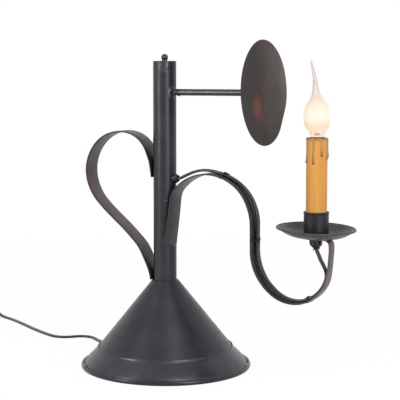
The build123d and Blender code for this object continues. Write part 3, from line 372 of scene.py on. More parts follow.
# painted reflection of the bulb: a red glow emitted around this spot
PAINTED_GLOW_SPOT = (0.116, -0.0068, 0.2880)
from_painted_glow = node(tree, "VectorMath", {0: object_place(tree), 1: PAINTED_GLOW_SPOT}, operation="DISTANCE").outputs["Value"]
feed(bsdf, {
    "Base Color": ramp(tree, calc(tree, "ADD", calc(tree, "ADD", back, top), cloud), [
        (0.0, (0.034, 0.032, 0.030)), (0.35, (0.041, 0.031, 0.028)), (0.7, (0.071, 0.060, 0.055)),
        (1.0, (0.125, 0.111, 0.103)),
    ]),
    "Emission Color": ramp(tree, from_painted_glow, [
        (0.0, (0.105, 0.023, 0.005)), (0.006, (0.080, 0.016, 0.003)), (0.012, (0.030, 0.004, 0.001)), (0.021, 0.0),
    ], interpolation="EASE"),
    "Emission Strength": 1.0,
    "Roughness": 0.55,
    "Specular IOR Level": 0.03,
})
add_bump(tree, bsdf, add_noise(tree, 120), 0.08, 0.0005)

# The sleeve's tan paper, with the wax's olive and brown where the wax and tip attributes say
sleeve_wax, tree, bsdf = shader("sleeve_wax")
streaks = add_noise(tree, 420, detail=2, stretch=(1, 1, 0.03))
spots = add_noise(tree, 900)
tan = ramp(tree, streaks, [(0.3, (0.43, 0.184, 0.034)), (0.55, (0.48, 0.209, 0.040)), (0.8, (0.53, 0.240, 0.052))])
olive = ramp(tree, spots, [(0.3, (0.20, 0.115, 0.045)), (0.7, (0.34, 0.205, 0.085))])
brown = ramp(tree, spots, [(0.3, (0.10, 0.035, 0.015)), (0.7, (0.24, 0.095, 0.035))])
tip_mask, wax_mask = (node(tree, "Attribute", attribute_name=name).outputs["Fac"] for name in ("tip", "wax"))
feed(bsdf, {
    "Base Color": mix_colour(tree, wax_mask, tan, mix_colour(tree, tip_mask, olive, brown)),
    "Roughness": 0.55,
    "Specular IOR Level": 0.2,
})
add_bump(tree, bsdf, streaks, 0.15, 0.0002)

# The bulb's dipped skin: milky and glowing where it is lit, clear at its neck and tail
bulb_glass, tree, bsdf = shader("bulb_glass")
height = place_on(tree, "Z")
feed(bsdf, {
    "Base Color": ramp(tree, height, [
        (0.2600, (0.88, 0.80, 0.74)), (0.2645, (0.84, 0.74, 0.66)), (0.2680, (0.32, 0.26, 0.22)),
        (0.2710, (0.25, 0.20, 0.17)), (0.2990, (0.25, 0.19, 0.155)), (0.3060, (0.46, 0.38, 0.32)),
        (0.3150, (0.58, 0.50, 0.44)),
    ]),
    "Emission Color": ramp(tree, height, [
        (0.2600, 0.0), (0.2635, (0.08, 0.04, 0.02)), (0.2670, (0.42, 0.27, 0.17)), (0.2700, (0.60, 0.44, 0.28)),
        (0.2780, (0.66, 0.63, 0.52)), (0.2860, (0.66, 0.61, 0.48)), (0.2930, (0.64, 0.55, 0.42)),
        (0.2990, (0.54, 0.43, 0.33)), (0.3050, (0.18, 0.14, 0.12)), (0.3120, (0.06, 0.05, 0.05)),
    ]),
    "Emission Strength": 1.0,
    "Transmission Weight": ramp(tree, height, [
        (0.2600, 0.95), (0.2640, 0.9), (0.2680, 0.25), (0.2710, 0.0), (0.3060, 0.0), (0.3150, 0.45),
    ]),
    "Roughness": 0.2,
    "IOR": 1.2,
})
add_bump(tree, bsdf, add_noise(tree, 210, detail=2, stretch=(1, 1, 0.10)), 0.12, 0.0005)

filament, tree, bsdf = shader("filament")
ember = ramp(tree, add_noise(tree, 700, detail=2), [(0.3, (0.30, 0.04, 0.01)), (0.7, (0.85, 0.20, 0.05))])
feed(bsdf, {"Emission Color": ember, "Base Color": ember, "Emission Strength": 1.0})

finishes = {
    "black_paint": black_paint, "zinc_steel": zinc_steel, "grey_felt": grey_felt, "raw_iron": raw_iron,
    "black_rubber": black_rubber, "black_lead": black_lead, "brass_plain": brass_plain,
    "bulb_brass": brass_plain, "phenolic": phenolic, "black_phenolic": black_phenolic,
    "tan_resin": sleeve_wax, "cream_silicone": bulb_glass,
}
for entry in frame["record"]["subparts"]:
    part = nodes[entry["node"]]
    part.data.materials.clear()
    part.data.materials.append(finishes[entry["material_slot"]])
for name in ("reflector_rod", "ball_finial"):
    nodes[name].data.materials[0] = rod_paint


# Camera at the photograph's place

CAMERA_TURN = 28.8
camera_data = bpy.data.cameras.new("camera")
camera_data.lens = 108
camera_data.sensor_width = 36
camera = put("camera", camera_data)
camera.location = (0.668, -1.135, 0.3224)
camera.rotation_euler = (radians(84.053), 0, radians(CAMERA_TURN))
scene.camera = camera


# Cords on the floor

LEAD_W, LEAD_T = 5.3, 2.7
EXIT_ANGLE = radians(155.8)
EXIT_REACH = 106.69
EXIT_HEIGHT = 9.2
FLAT_HEIGHT = 1.45
SWITCH_HEIGHT = 7.0
supply_route = [(reach * cos(EXIT_ANGLE), reach * sin(EXIT_ANGLE), height) for reach, height in (
    (EXIT_REACH, EXIT_HEIGHT), (EXIT_REACH + 8, EXIT_HEIGHT), (EXIT_REACH + 23.5, FLAT_HEIGHT),
)]
supply_route += [(x, y, FLAT_HEIGHT) for x, y in (
    (-131.5, 62), (-146.5, 72.6), (-156.9, 73.9), (-166.5, 69.6), (-172.8, 60.6), (-181.5, 55.6), (-191.5, 54.7),
    (-208, 61.4), (-236, 75.5), (-268, 94.5), (-300, 112.5), (-326, 122.5),
)]
supply_route += [(-342, 129.3, SWITCH_HEIGHT), (-352, 133.6, SWITCH_HEIGHT)]


def spline_points(route, resolution):
    """the points, in metres, of a smooth curve whose control points are the route's"""
    curve = bpy.data.curves.new("route", "CURVE")
    curve.dimensions = "3D"
    spline = curve.splines.new("NURBS")
    spline.points.add(len(route) - 1)
    for point, place in zip(spline.points, route):
        point.co = (place[0] * MM, place[1] * MM, place[2] * MM, 1)
    spline.order_u = 3
    spline.use_endpoint_u = True
    spline.resolution_u = resolution
    obj = put("route", curve)
    bpy.context.view_layer.update()
    mesh = bpy.data.meshes.new_from_object(obj.evaluated_get(bpy.context.evaluated_depsgraph_get()))
    points = [v.co.copy() for v in mesh.vertices]
    bpy.data.objects.remove(obj)
    bpy.data.curves.remove(curve)
    bpy.data.meshes.remove(mesh)
    return points


def flat_lead(name, points, roll):
    """a flat twin lead along points in metres; roll(share) is its turn about its own line, 0 lying flat"""
    points = [p / MM for p in points]
    outline = twin_outline(LEAD_W, LEAD_T)
    runs = [0.0]
    for a, b in zip(points, points[1:]):
        runs.append(runs[-1] + (b - a).length)
    rings = []
    for i, p in enumerate(points):
        ahead = points[min(i + 1, len(points) - 1)] - points[max(i - 1, 0)]
        ahead.normalize()
        side = ahead.cross(Vector((0, 0, 1))).normalized()
        up = side.cross(ahead)
        t = roll(runs[i] / runs[-1])
        across = side * cos(t) + up * sin(t)
        high = up * cos(t) - side * sin(t)
        rings.append([p + across * u + high * v for u, v in outline])
    return make_mesh(name, skin(rings), black_lead, split=50)


supply_points = spline_points(supply_route, 12)
supply = flat_lead("supply_cord_flex", supply_points, lambda share: 0.0)
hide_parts("supply_cord")

# The lead beyond the switch, and the coil that it ends in
far_way = (Vector(supply_route[-1]) - Vector(supply_route[-2])).normalized()
SWITCH_LENGTH = 56.0
LEAD_RUN = 40.0
LEAD_SHARE = 0.03
CORD_REST = 2.7
COIL_RADIUS = 43.5
COIL_PITCH = 6.1
COIL_RISE = 6.0
HALF_TURNS_IN = 7
HALF_TURNS_OUT = 6
PER_HALF = 8
COIL_TAIL = 36.0
lead_start = Vector(supply_route[-1]) + far_way * SWITCH_LENGTH
drop = Vector((0, 0, CORD_REST - SWITCH_HEIGHT))
coil_angle = atan2(far_way.y, far_way.x) - pi / 2
coil_start = lead_start + far_way * (LEAD_RUN + 5.3) + drop
coil_centre = coil_start - way(coil_angle) * COIL_RADIUS
inner = COIL_RADIUS - HALF_TURNS_IN * COIL_PITCH / 2
coil_turns = HALF_TURNS_IN + 1 + HALF_TURNS_OUT


def coil_point(k):
    """radius and height where half turn k starts"""
    if k <= HALF_TURNS_IN:
        return COIL_RADIUS - k * COIL_PITCH / 2, CORD_REST
    if k == HALF_TURNS_IN + 1:
        return inner - COIL_PITCH / 4, CORD_REST + COIL_RISE
    return inner + (k - HALF_TURNS_IN - 1) * COIL_PITCH / 2, CORD_REST + COIL_RISE


coil_route = [
    lead_start, lead_start + far_way * (0.25 * LEAD_RUN), lead_start + far_way * (0.75 * LEAD_RUN) + drop,
]
bulge = 2 / (1 + cos(pi / PER_HALF / 2))
for k in range(coil_turns):
    (r0, z0), (r1, z1) = coil_point(k), coil_point(k + 1)
    a = coil_angle + pi * k
    middle = coil_centre + way(a) * ((r0 - r1) / 2)
    for i in range(PER_HALF):
        turn = pi * (i + 0.5) / PER_HALF
        place = middle + way(a + turn) * ((r0 + r1) / 2) * bulge
        coil_route.append((place.x, place.y, z0 + (z1 - z0) * (1 - cos(turn)) / 2))
last_angle = coil_angle + pi * coil_turns
last_radius, last_height = coil_point(coil_turns)
last = coil_centre + way(last_angle) * last_radius
for share in (0.35, 0.75, 1.0):
    place = last + way(last_angle + pi / 2) * COIL_TAIL * share
    coil_route.append((place.x, place.y, last_height))
coil_points = spline_points(coil_route, 6)


def coil_roll(share):
    """the lead lies flat at the switch and stands on edge in the coil"""
    return (pi / 2) * smooth_step(min(1, share / LEAD_SHARE))


coil = flat_lead("coil_flex", coil_points, coil_roll)
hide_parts("switch_cord", "cord_coil")
tuple(supply_points[0])
tuple(coil_points[0])


# Straps

STRAP = 1.6
STRAP_EDGE = 0.7
COLUMN = 12.7
WELD_GAP = 0.02
ARM_X = COLUMN + WELD_GAP + STRAP / 2
ROOT_Z, ROOT_RUN = 138.3, 47.9
SHOULDER_R, SHOULDER_TURN = 17.9, 40.5
ARCH_R, BOW_R, BOW_TURN, CRADLE_R = 53.0, 57.6, 53.4, 39.1
ARM_DROP, ARM_RISE, CORNER_R, TONGUE = 24.9, 24.7, 5.5, 18.2
CANDLE_IN = 15.9
ROOT_W, MIDDLE_W, TIP_W = 25.4, 21.4, 13.0
WANDER = 0.25


def strip(name, path, width_at, shift, material, seed=0.0):
    """a flat strap with rounded edges along a traced path, wandering a little; shift is its hand bends"""
    rings = []
    for (x, z, h), gone in zip(path, along(path)):
        nx, nz = -sin(radians(h)), cos(radians(h))
        shrink = 0.3 if (x, z, h) in (path[0], path[-1]) else 0.0
        off = WANDER * wobble(gone * 0.035, seed, 0)
        skew = WANDER * wobble(gone * 0.03, seed, 9)
        dx, dy = shift(x, z, gone)
        ring = []
        for u, v in rounded_box(width_at(x, gone) - 2 * shrink, STRAP - 2 * shrink, STRAP_EDGE - shrink):
            lift = v + off + skew * u / 12
            ring.append((x + dx + nx * lift, u + dy, z + nz * lift))
        rings.append(ring)
    return make_mesh(name, skin(rings), material, split=60)


arch_x = ARM_X + SHOULDER_R + (ARCH_R - SHOULDER_R) * cos(radians(SHOULDER_TURN))
arch_z = ROOT_Z + ROOT_RUN - (ARCH_R - SHOULDER_R) * sin(radians(SHOULDER_TURN))
run_x = arch_x + ARCH_R
run_z = arch_z - ARM_DROP
cradle_x = run_x + BOW_R - (BOW_R - CRADLE_R) * cos(radians(BOW_TURN))
cradle_z = run_z - (BOW_R - CRADLE_R) * sin(radians(BOW_TURN))
riser_x = cradle_x + CRADLE_R
tongue_z = cradle_z + ARM_RISE + CORNER_R
candle_x = riser_x - CANDLE_IN


def arm_width(x, gone=0.0):
    broad = 1.8 * hump(x, run_x, 12)
    if x <= run_x:
        return ROOT_W + (MIDDLE_W - ROOT_W) * (x - ARM_X) / (run_x - ARM_X) + broad
    return MIDDLE_W + (TIP_W - MIDDLE_W) * (x - run_x) / (riser_x - STRAP / 2 - run_x) + broad


arm_path = trace((ARM_X, ROOT_Z), 90, [
    ("run", ROOT_RUN), ("arc", SHOULDER_R, -SHOULDER_TURN), ("arc", ARCH_R, SHOULDER_TURN - 180), ("run", ARM_DROP),
    ("arc", BOW_R, BOW_TURN), ("arc", CRADLE_R, 180 - BOW_TURN), ("run", ARM_RISE), ("arc", CORNER_R, 90),
    ("run", TONGUE),
])


def riser_bow(x, z):
    """how far the riser bows outward"""
    share = min(1.0, max(0.0, (x - 170) / 12)) if z > 100 else 0.0
    return share * (1.5 * hump(z, 144, 14) - 0.5 * hump(z, 118, 6))


def arm_shift(x, z, gone):
    """the root leans to the front on the column, and the riser bows outward"""
    return riser_bow(x, z) - 0.5 * hump(x, run_x, 12), -11.2 * fade(gone, 53) ** 1.15


arm = strip("arm_strap_bent", arm_path, arm_width, arm_shift, arm_paint)
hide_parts("arm_strap")

FOOT_Z, FOOT_R, FOOT_TURN, LEG, LOOP_R, LOOP_TURN, TOP_RUN = 96.75, 54.6, 48.7, 65.7, 45.1, 145.9, 12.5
handle_x = -ARM_X
leg_x = handle_x - FOOT_R * (1 - cos(radians(FOOT_TURN))) - LEG * sin(radians(FOOT_TURN))
loop_end = LOOP_TURN - FOOT_TURN
loop_x = leg_x + LOOP_R * cos(radians(FOOT_TURN)) - LOOP_R * cos(radians(loop_end))
close_r = (handle_x - loop_x) / (1 + cos(radians(loop_end)))
handle_path = trace((handle_x, FOOT_Z), 90, [
    ("arc", FOOT_R, FOOT_TURN), ("run", LEG), ("arc", LOOP_R, -LOOP_TURN), ("arc", close_r, loop_end - 180),
    ("run", TOP_RUN),
])
HANDLE_LENGTH = along(handle_path)[-1]
HANDLE_W = 22.2


def handle_width(x, gone):
    return HANDLE_W - 8.0 * fade(HANDLE_LENGTH - gone, 26) ** 1.3 - 3.0 * fade(gone, 14) ** 1.3


def handle_shift(x, z, gone):
    """the hand-bent leg wanders to the left and the right of its path"""
    sway = 0.0
    if gone < 130:
        sway = 0.6 * hump(z, 151, 10) - 1.2 * hump(z, 172, 11) - 2.3 * hump(z, 122, 14)
    return sway - fade(abs(HANDLE_LENGTH - gone - 26), 22), 0.0


handle = strip("handle_strap_bent", handle_path, handle_width, handle_shift, strap_paint, seed=4)
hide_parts("handle_strap")


# The arm's lead, tied down at three places and standing off the strap between them

lead_off = STRAP / 2 + LEAD_T / 2 + 0.05
LIFT_R, CREST_R, JOIN = 8.0, 90.0, 8.0
lead_arch_r = ARCH_R + lead_off
crest_x = arch_x - (CREST_R - lead_arch_r) * sin(radians(JOIN))
crest_z = arch_z - (CREST_R - lead_arch_r) * cos(radians(JOIN))
exit_x = COLUMN + 5.5
exit_z = crest_z + sqrt((CREST_R + LIFT_R) ** 2 - (crest_x - exit_x) ** 2) - LIFT_R
lift_turn = degrees(asin((crest_x - exit_x) / (CREST_R + LIFT_R)))
LEAVE, LEAVE_R, LEAN, LAST = 66.9, 15.0, 24.5, 27.0
lead_path = trace((COLUMN - 0.8, exit_z), 0, [
    ("run", 6.3), ("arc", LIFT_R, lift_turn), ("arc", CREST_R, -lift_turn - JOIN), ("arc", lead_arch_r, JOIN - 90),
    ("run", ARM_DROP), ("arc", BOW_R - lead_off, BOW_TURN), ("arc", CRADLE_R - lead_off, 90 - BOW_TURN + LEAVE),
    ("arc", LEAVE_R, 90 + LEAN - LEAVE), ("run", LAST),
])
ARCH_TIE, CRADLE_TIE = 17.5, 25.0
tie_places = [
    (arch_x + ARCH_R * sin(radians(ARCH_TIE)), arch_z + ARCH_R * cos(radians(ARCH_TIE)), -ARCH_TIE),
    (run_x, run_z + 0.40 * ARM_DROP, -90),
    (cradle_x + CRADLE_R * sin(radians(CRADLE_TIE)), cradle_z - CRADLE_R * cos(radians(CRADLE_TIE)), CRADLE_TIE),
]

lead_runs = along(lead_path)
tie_runs = []
for tx, tz, _ in tie_places:
    near = min(range(len(lead_path)), key=lambda i: (lead_path[i][0] - tx) ** 2 + (lead_path[i][1] - tz) ** 2)
    tie_runs.append(lead_runs[near])
STAND_OFF = 1.2


def stand_off(run):
    """how far the lead lifts off the strap between its ties"""
    for a, b in zip(tie_runs, tie_runs[1:]):
        if a < run < b:
            share = (run - a) / (b - a)
            return STAND_OFF * sin(pi * share) ** 2 * (1 + 0.3 * wobble(run * 0.08, 3, 0))
    if 10 < run < tie_runs[0] - 3:
        return 1.3 * sin(pi * (run - 10) / (tie_runs[0] - 13)) ** 2
    return 0.0


def toward_riser(x, z):
    """the lead's last run keeps closer to the strap's riser than its path"""
    drop = max(0.0, cradle_z - z)
    held = cradle_x + sqrt(max(0.0, (CRADLE_R - lead_off) ** 2 - drop * drop))
    free = held - x
    if x < cradle_x + 15 or free <= 0:
        return 0.0
    return fade(free, 8) * (free - free * free / (free + 3.2) + riser_bow(x, z))


DROP_AT_EXIT = 2.8
outline = [(u * 1.06, v * 1.1 + 0.13) for u, v in twin_outline(LEAD_W, LEAD_T)]
rings = []
for (x, z, h), run in zip(lead_path, lead_runs):
    nx, nz = -sin(radians(h)), cos(radians(h))
    x += toward_riser(x, z)
    side = 0.35 * wobble(run * 0.03, 5, 1) * min(1, run / 20)
    lift = stand_off(run)
    sink = DROP_AT_EXIT * fade(max(0.0, run - 5), 42) ** 2
    rings.append([(x + nx * (v + lift), u + side, z - sink + nz * (v + lift)) for u, v in outline])
lead = make_mesh("arm_lead_flat", skin(rings), black_lead, split=50)
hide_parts("arm_lead")


def tube(points, radius, steps=8, closed=False, taper=None):
    """verts and faces of a round tube through points, with no twist"""
    n = len(points)
    rings = []
    up = None
    for i, p in enumerate(points):
        ahead = points[(i + 1) % n] - points[i - 1] if closed else points[min(i + 1, n - 1)] - points[max(i - 1, 0)]
        ahead = ahead.normalized()
        if up is None:
            up = Vector((0, 0, 1)) if abs(ahead.z) < 0.9 else Vector((1, 0, 0))
        side = ahead.cross(up).normalized()
        up = side.cross(ahead).normalized()
        r = radius * (taper(i / (n - 1)) if taper else 1)
        rings.append([p + side * (r * cos(a)) + up * (r * sin(a)) for a in turns(steps)])
    if closed:
        rings.append(rings[0])
        return skin(rings, cap=False)
    return skin(rings)


def join(parts):
    """one mesh's verts and faces from several"""
    verts, faces = [], []
    for v, f in parts:
        base = len(verts)
        verts += list(v)
        faces += [tuple(i + base for i in face) for face in f]
    return verts, faces


def hull_loop(width):
    """a string's loop round the strap and the lead on it, as (across, up) pairs"""
    w = STRING
    half = width / 2
    top = STRAP / 2 + 0.05 + LEAD_T
    right = [
        (half - 0.3, -STRAP / 2 - w), (half + w * 0.8, -STRAP / 2 + 0.1), (half + w * 0.8, STRAP / 2 - 0.1),
        (LEAD_W / 2 - 0.2, top + w * 0.7), (LEAD_W / 2 - 1.2, top + w),
    ]
    left = [(-u, v) for u, v in reversed(right)]
    corners = left[-1:] + right + left[:-1]
    out = []
    for (a, b), (c, d) in zip(corners, corners[1:] + corners[:1]):
        n = max(1, round(sqrt((c - a) ** 2 + (d - b) ** 2) / STRING_STEP))
        out += [(a + (c - a) * k / n, b + (d - b) * k / n) for k in range(n)]
    return out


STRING, STRING_STEP = 0.28, 0.6
tie_parts = []
for tx, tz, h in tie_places:
    ahead = Vector((cos(radians(h)), 0, sin(radians(h))))
    up = Vector((-sin(radians(h)), 0, cos(radians(h))))
    across = Vector((0, 1, 0))
    centre = Vector((tx, 0, tz))

    def place(u, v, s):
        return centre + across * u + up * v + ahead * s

    width = arm_width(tx)
    for shift, slant in ((-0.5, -0.4), (0.45, 0.5)):
        points = [place(u, v, shift + slant * u / width) for u, v in hull_loop(width)]
        tie_parts.append(tube(points, STRING, closed=True))
    top = STRAP / 2 + LEAD_T + 1.0
    knot = []
    for t in turns(48):
        knot.append(place(
            0.651 * (sin(t) + 1.3 * sin(2 * t)), top - 0.35 * sin(3 * t), 0.62 * (cos(t) - 1.3 * cos(2 * t))))
    tie_parts.append(tube(knot, 0.55, closed=True))
    for side in (-1, 1):
        tail = [place(side * (0.6 + 0.45 * k), top - 0.1 - 0.03 * k * k, side * (0.25 * k + 0.12 * k * k))
                for k in range(6)]
        tie_parts.append(tube(tail, 0.42))
ties = make_mesh("lead_tie_knots", join(tie_parts), black_rubber, split=60)
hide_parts("lead_ties")

# The wrapped boot under the pan, where the lead goes up into the candle
boot_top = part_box("lead_relief")[1][2] / MM
BOOT_OVERLAP = 4.0
end_x, end_z = lead_path[-1][:2]
end_x += toward_riser(end_x, end_z)
low_x, low_z = next(p[:2] for p, run in zip(lead_path, lead_runs) if lead_runs[-1] - run < BOOT_OVERLAP)
low_x += toward_riser(low_x, low_z)
rings = []
for j in range(25):
    t = j / 24
    x, z = low_x + (end_x - low_x) * t, low_z + (boot_top - low_z) * t
    half = 2.7 + 3.8 * min(1.0, 2 * t) ** 1.2
    ring = []
    for a in turns(56):
        lump = 0.5 * wobble(cos(a) * 2.2, sin(a) * 2.2, z * 0.45) + 0.12 * sin(z * 2.1 + 2 * a)
        r = half + lump * (0.4 + 0.6 * t)
        ring.append((x + r * cos(a), 1.08 * r * sin(a), z + 0.25 * sin(a + 1)))
    rings.append(ring)
boot_parts = [skin(rings)]
for angle, up, spike in ((-150, 0.05, 2.6), (-20, 0.35, 3.0), (-35, 0.6, 2.2), (95, 0.2, 2.4), (170, 0.4, 1.8)):
    a = radians(angle)
    x, z = low_x + (end_x - low_x) * up, low_z + (boot_top - low_z) * up
    r = 2.1 + 2.5 * min(1.0, up / 0.55)
    points = []
    for t in (0, 0.25, 0.5, 0.75, 1):
        out = r + 0.55 * spike * t
        points.append(Vector((x + out * cos(a), out * sin(a), z - spike * t ** 1.5)))
    boot_parts.append(tube(points, 0.75, taper=lambda t: 1 - 0.75 * t))
boot = make_mesh("lead_boot_wrapped", join(boot_parts), wet_rubber, split=70)
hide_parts("lead_relief")

# The rubber grommet where the lead leaves the column
profile = [(2.9, -0.6), (5.1, -0.6), (5.25, 0.2), (5.25, 1.4), (5.05, 2.0), (4.55, 2.35), (4.2, 2.9), (4.15, 3.6),
           (3.9, 4.15), (3.4, 4.35), (3.0, 4.2), (2.9, 3.8)]


def onto_column(verts, reach):
    """pull a turned shape's foot onto the column's round face"""
    out = []
    for x, y, z in verts:
        bend = sqrt(COLUMN ** 2 - y ** 2) - COLUMN
        out.append((x + bend * fade(max(0.0, x - COLUMN), reach), y, z))
    return out


verts, faces = lathe(profile, (COLUMN, 0, exit_z - DROP_AT_EXIT), axis="X", steps=48)
grommet = make_mesh("column_grommet", (onto_column(verts, 4.4), faces), wet_rubber, split=60)
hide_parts("column_bushing")


# Base skirt with a rolled crease and a rolled rim

CONE_TOP_R, CONE_TOP_Z, CONE_FOOT_R, CONE_FOOT_Z = 15.6, 95.3, 89.05, 3.8
CREASE_Z = 22.4
cone_r = CONE_TOP_R + (CONE_TOP_Z - CREASE_Z) * (CONE_FOOT_R - CONE_TOP_R) / (CONE_TOP_Z - CONE_FOOT_Z)
skirt_outer = [
    (cone_r + 0.02, CREASE_Z), (74.7, 23.15), (75.1, 23.05), (75.4, 22.5), (75.7, 21.6), (76.05, 20.8),
    (76.7, 19.9), (77.8, 18.7), (79.6, 16.8), (82.0, 14.4), (84.3, 12.1), (86.2, 10.0), (87.6, 8.3),
    (88.7, 6.8), (89.5, 5.5), (90.0, 4.5), (90.2, 3.9), (90.0, 3.2),
]
skirt_inner = [
    (89.2, 3.2), (88.6, 4.6), (87.0, 7.4), (83.4, 11.3), (79.0, 15.8), (76.0, 19.4), (cone_r + 0.01, 22.0),
]
BULGE, BULGE_WAY = 0.030, radians(-22)


def pressed_base(profile):
    """a turned form of the base, out of round below its crease: it bulges a little towards its right front"""
    verts, faces = lathe(profile, (0, 0, 0), steps=192)
    out = []
    for x, y, z in verts:
        share = min(1.0, max(0.0, (21 - z) / 17))
        k = 1 + BULGE * max(0.0, cos(atan2(y, x) - BULGE_WAY)) ** 2 * share
        out.append((x * k, y * k, z))
    return out, faces


skirt = make_mesh("base_skirt_rolled", pressed_base(skirt_outer + skirt_inner), lit_skirt_paint, split=50)
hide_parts("base_skirt")
rim = [(91.95 + 1.7 * cos(a), 2.55 + 2.5 * sin(a)) for a in turns(24)]
make_mesh("base_rim_bead", pressed_base(rim), rim_paint, split=60)


# Solder on the column

PATCH_STEPS = 26


def solder(name, angle, height, half_angle, half_height, thick, seed):
    """a lumpy patch of solder under the paint, on the column's face"""
    shares = [2 * i / PATCH_STEPS - 1 for i in range(PATCH_STEPS + 1)]
    rings = []
    for v in shares:
        z = height + half_height * v
        front, back = [], []
        for u in shares:
            a = radians(angle + half_angle * u)
            arc_len = radians(half_angle) * COLUMN * u
            d = u * u + v * v + 0.45 * wobble(arc_len * 0.35, z * 0.35, seed)
            lump = 0.75 + 0.6 * wobble(arc_len * 0.9, z * 0.9, seed + 7)
            r = COLUMN + thick * max(0.0, 1 - d) ** 0.5 * lump - 0.08
            front.append((r * cos(a), r * sin(a), z))
            r = COLUMN - 0.5
            back.append((r * cos(a), r * sin(a), z))
        rings.append(front + back[::-1])
    make_mesh(name, skin(rings), solder_paint, split=70)


solder("solder_face", -62, 331.0, 27, 6.5, 0.45, 2.0)
solder("solder_stub", -18, 303.5, 30, 7.5, 0.8, 5.0)
solder("solder_handle_top", 180, 247.0, 62, 9.0, 0.6, 8.0)
solder("solder_arm_root", 0, 140.0, 72, 5.0, 0.6, 11.0)

# The stub's fillet of solder, and the grub screw that holds the rod
ROD_Z = 303.8
FILLET = 1.7
profile = []
for i in range(9):
    t = radians(90 * i / 8)
    profile.append((3.6 + FILLET * (1 - sin(t)), FILLET * (1 - cos(t))))
profile += [(3.2, 1.9), (3.2, -0.6), (5.2, -0.6)]
verts, faces = lathe(profile, (COLUMN, 0, ROD_Z), axis="X", steps=48)
make_mesh("stub_fillet", (onto_column(verts, 1.8), faces), solder_paint, split=60)
profile = [
    (0, -3.2), (1.3, -3.2), (1.3, -4.1), (1.15, -4.3), (0.55, -4.35), (0.55, -4.0), (0.45, -4.0), (0.45, -4.35),
    (0, -4.35),
]
make_mesh("grub_screw", lathe(profile, (18.2, 0, ROD_Z), steps=24), solder_paint, split=40)

# Lumps of solder beside the arm's root, on the column
for i, (angle, z, across, along_z, height) in enumerate((
    (-53.5, 185.0, 2.6, 1.9, 1.6), (-63.5, 139.4, 2.6, 1.5, 1.7), (-38.0, 137.4, 2.4, 1.5, 1.8),
    (-58.0, 171.0, 1.0, 2.4, 0.9),
)):
    rings = []
    for j in range(8):
        t = j / 7
        size, up = cos(t * pi / 2 * 0.96), sin(t * pi / 2)
        ring = []
        for turn in turns(20):
            lump = 1 + 0.35 * wobble(cos(turn) * 1.3, sin(turn) * 1.3, 3.7 * i)
            a = radians(angle) + across * size * lump * cos(turn) / COLUMN
            r = COLUMN - 0.35 + (height + 0.35) * up
            ring.append((r * cos(a), r * sin(a), z + along_z * size * lump * sin(turn)))
        rings.append(ring)
    make_mesh("root_solder_%d" % (i + 1), skin(rings), solder_paint, split=60)


# Reflector disc: a shallow tin dish with a turned rim and a few dents

DISC_R, DISC_DEPTH, DISC_REACH, SHEET, TILT = 55.5, 6.0, 121.2, 0.8, 1.2
ROLL_R = 0.9
DISH_STEPS = 28
dish_r = (DISC_R ** 2 + DISC_DEPTH ** 2) / (2 * DISC_DEPTH)
rim_at = DISC_R - 1.0


def dish(r):
    """how far out along the rod the dish's front is at a radius"""
    return DISC_REACH - DISC_DEPTH + dish_r - sqrt(dish_r ** 2 - r ** 2)


profile = [(rim_at * i / DISH_STEPS, dish(rim_at * i / DISH_STEPS)) for i in range(DISH_STEPS + 1)]
rim_x = profile[-1][1] - 0.55
for i in range(1, 12):
    t = radians(75 - 250 * i / 12)
    profile.append((rim_at + ROLL_R * cos(t), rim_x + ROLL_R * sin(t)))
for i in range(DISH_STEPS, -1, -1):
    r = (rim_at - ROLL_R) * i / DISH_STEPS
    profile.append((r, dish(r) - SHEET))
verts, faces = lathe(profile, (0, 0, ROD_Z), axis="X")
dented = []
for x, y, z in verts:
    across, up = y / DISC_R, (z - ROD_Z) / DISC_R
    low = max(0.0, -up)
    dent = 0.35 * wobble(y * 0.028, z * 0.028, 2.5) * sqrt(across ** 2 + up ** 2)
    dent += max(0.0, -across) * (1.2 + 0.6 * low) + 1.0 * low ** 2
    dent -= 1.9 * max(0.0, across) * hump(up, -0.55, 0.25)
    dented.append((x + dent - (z - ROD_Z) * sin(radians(TILT)), y, z))
disc = make_mesh("reflector_dish", (dented, faces), disc_paint, split=40, body="reflector")
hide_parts("reflector_disc")


# Drip pan and cup, spun tin with turned edges

NIPPLE_R = 5.2
PAN_R, PAN_RISE, PAN_FLAT, PAN_SHEET = 41.6, 10.2, 17.0, 0.9
PAN_FORWARD, PAN_SIDE, PAN_LIFT = 0.033, 0.030, 0.9
FRONT_X, FRONT_Y = 0.482, -0.876
pan_low = tongue_z + STRAP / 2


def tangent_arc(r0, z0, r1, z1):
    """an arc that leaves the first point level and ends at the second"""
    d, h = r1 - r0, z1 - z0
    radius = (d * d + h * h) / (2 * h)
    angles = [2 * atan2(h, d) * i / 14 for i in range(15)]
    return [(r0 + radius * sin(a), z0 + radius * (1 - cos(a))) for a in angles]


EDGE = 1.0
edge_r, edge_z = PAN_R - EDGE, pan_low + PAN_RISE - EDGE
profile = [(NIPPLE_R, pan_low)] + tangent_arc(PAN_FLAT, pan_low, PAN_R - 2.6, pan_low + PAN_RISE - 1.9)
profile += [(edge_r + EDGE * cos(radians(t)), edge_z + EDGE * sin(radians(t))) for t in range(-100, 200, 25)]
profile += tangent_arc(PAN_FLAT, pan_low + PAN_SHEET, PAN_R - 2.9, pan_low + PAN_RISE - 0.9)[::-1]
profile.append((NIPPLE_R, pan_low + PAN_SHEET))
verts, faces = lathe(profile, (candle_x, 0, 0), steps=144)
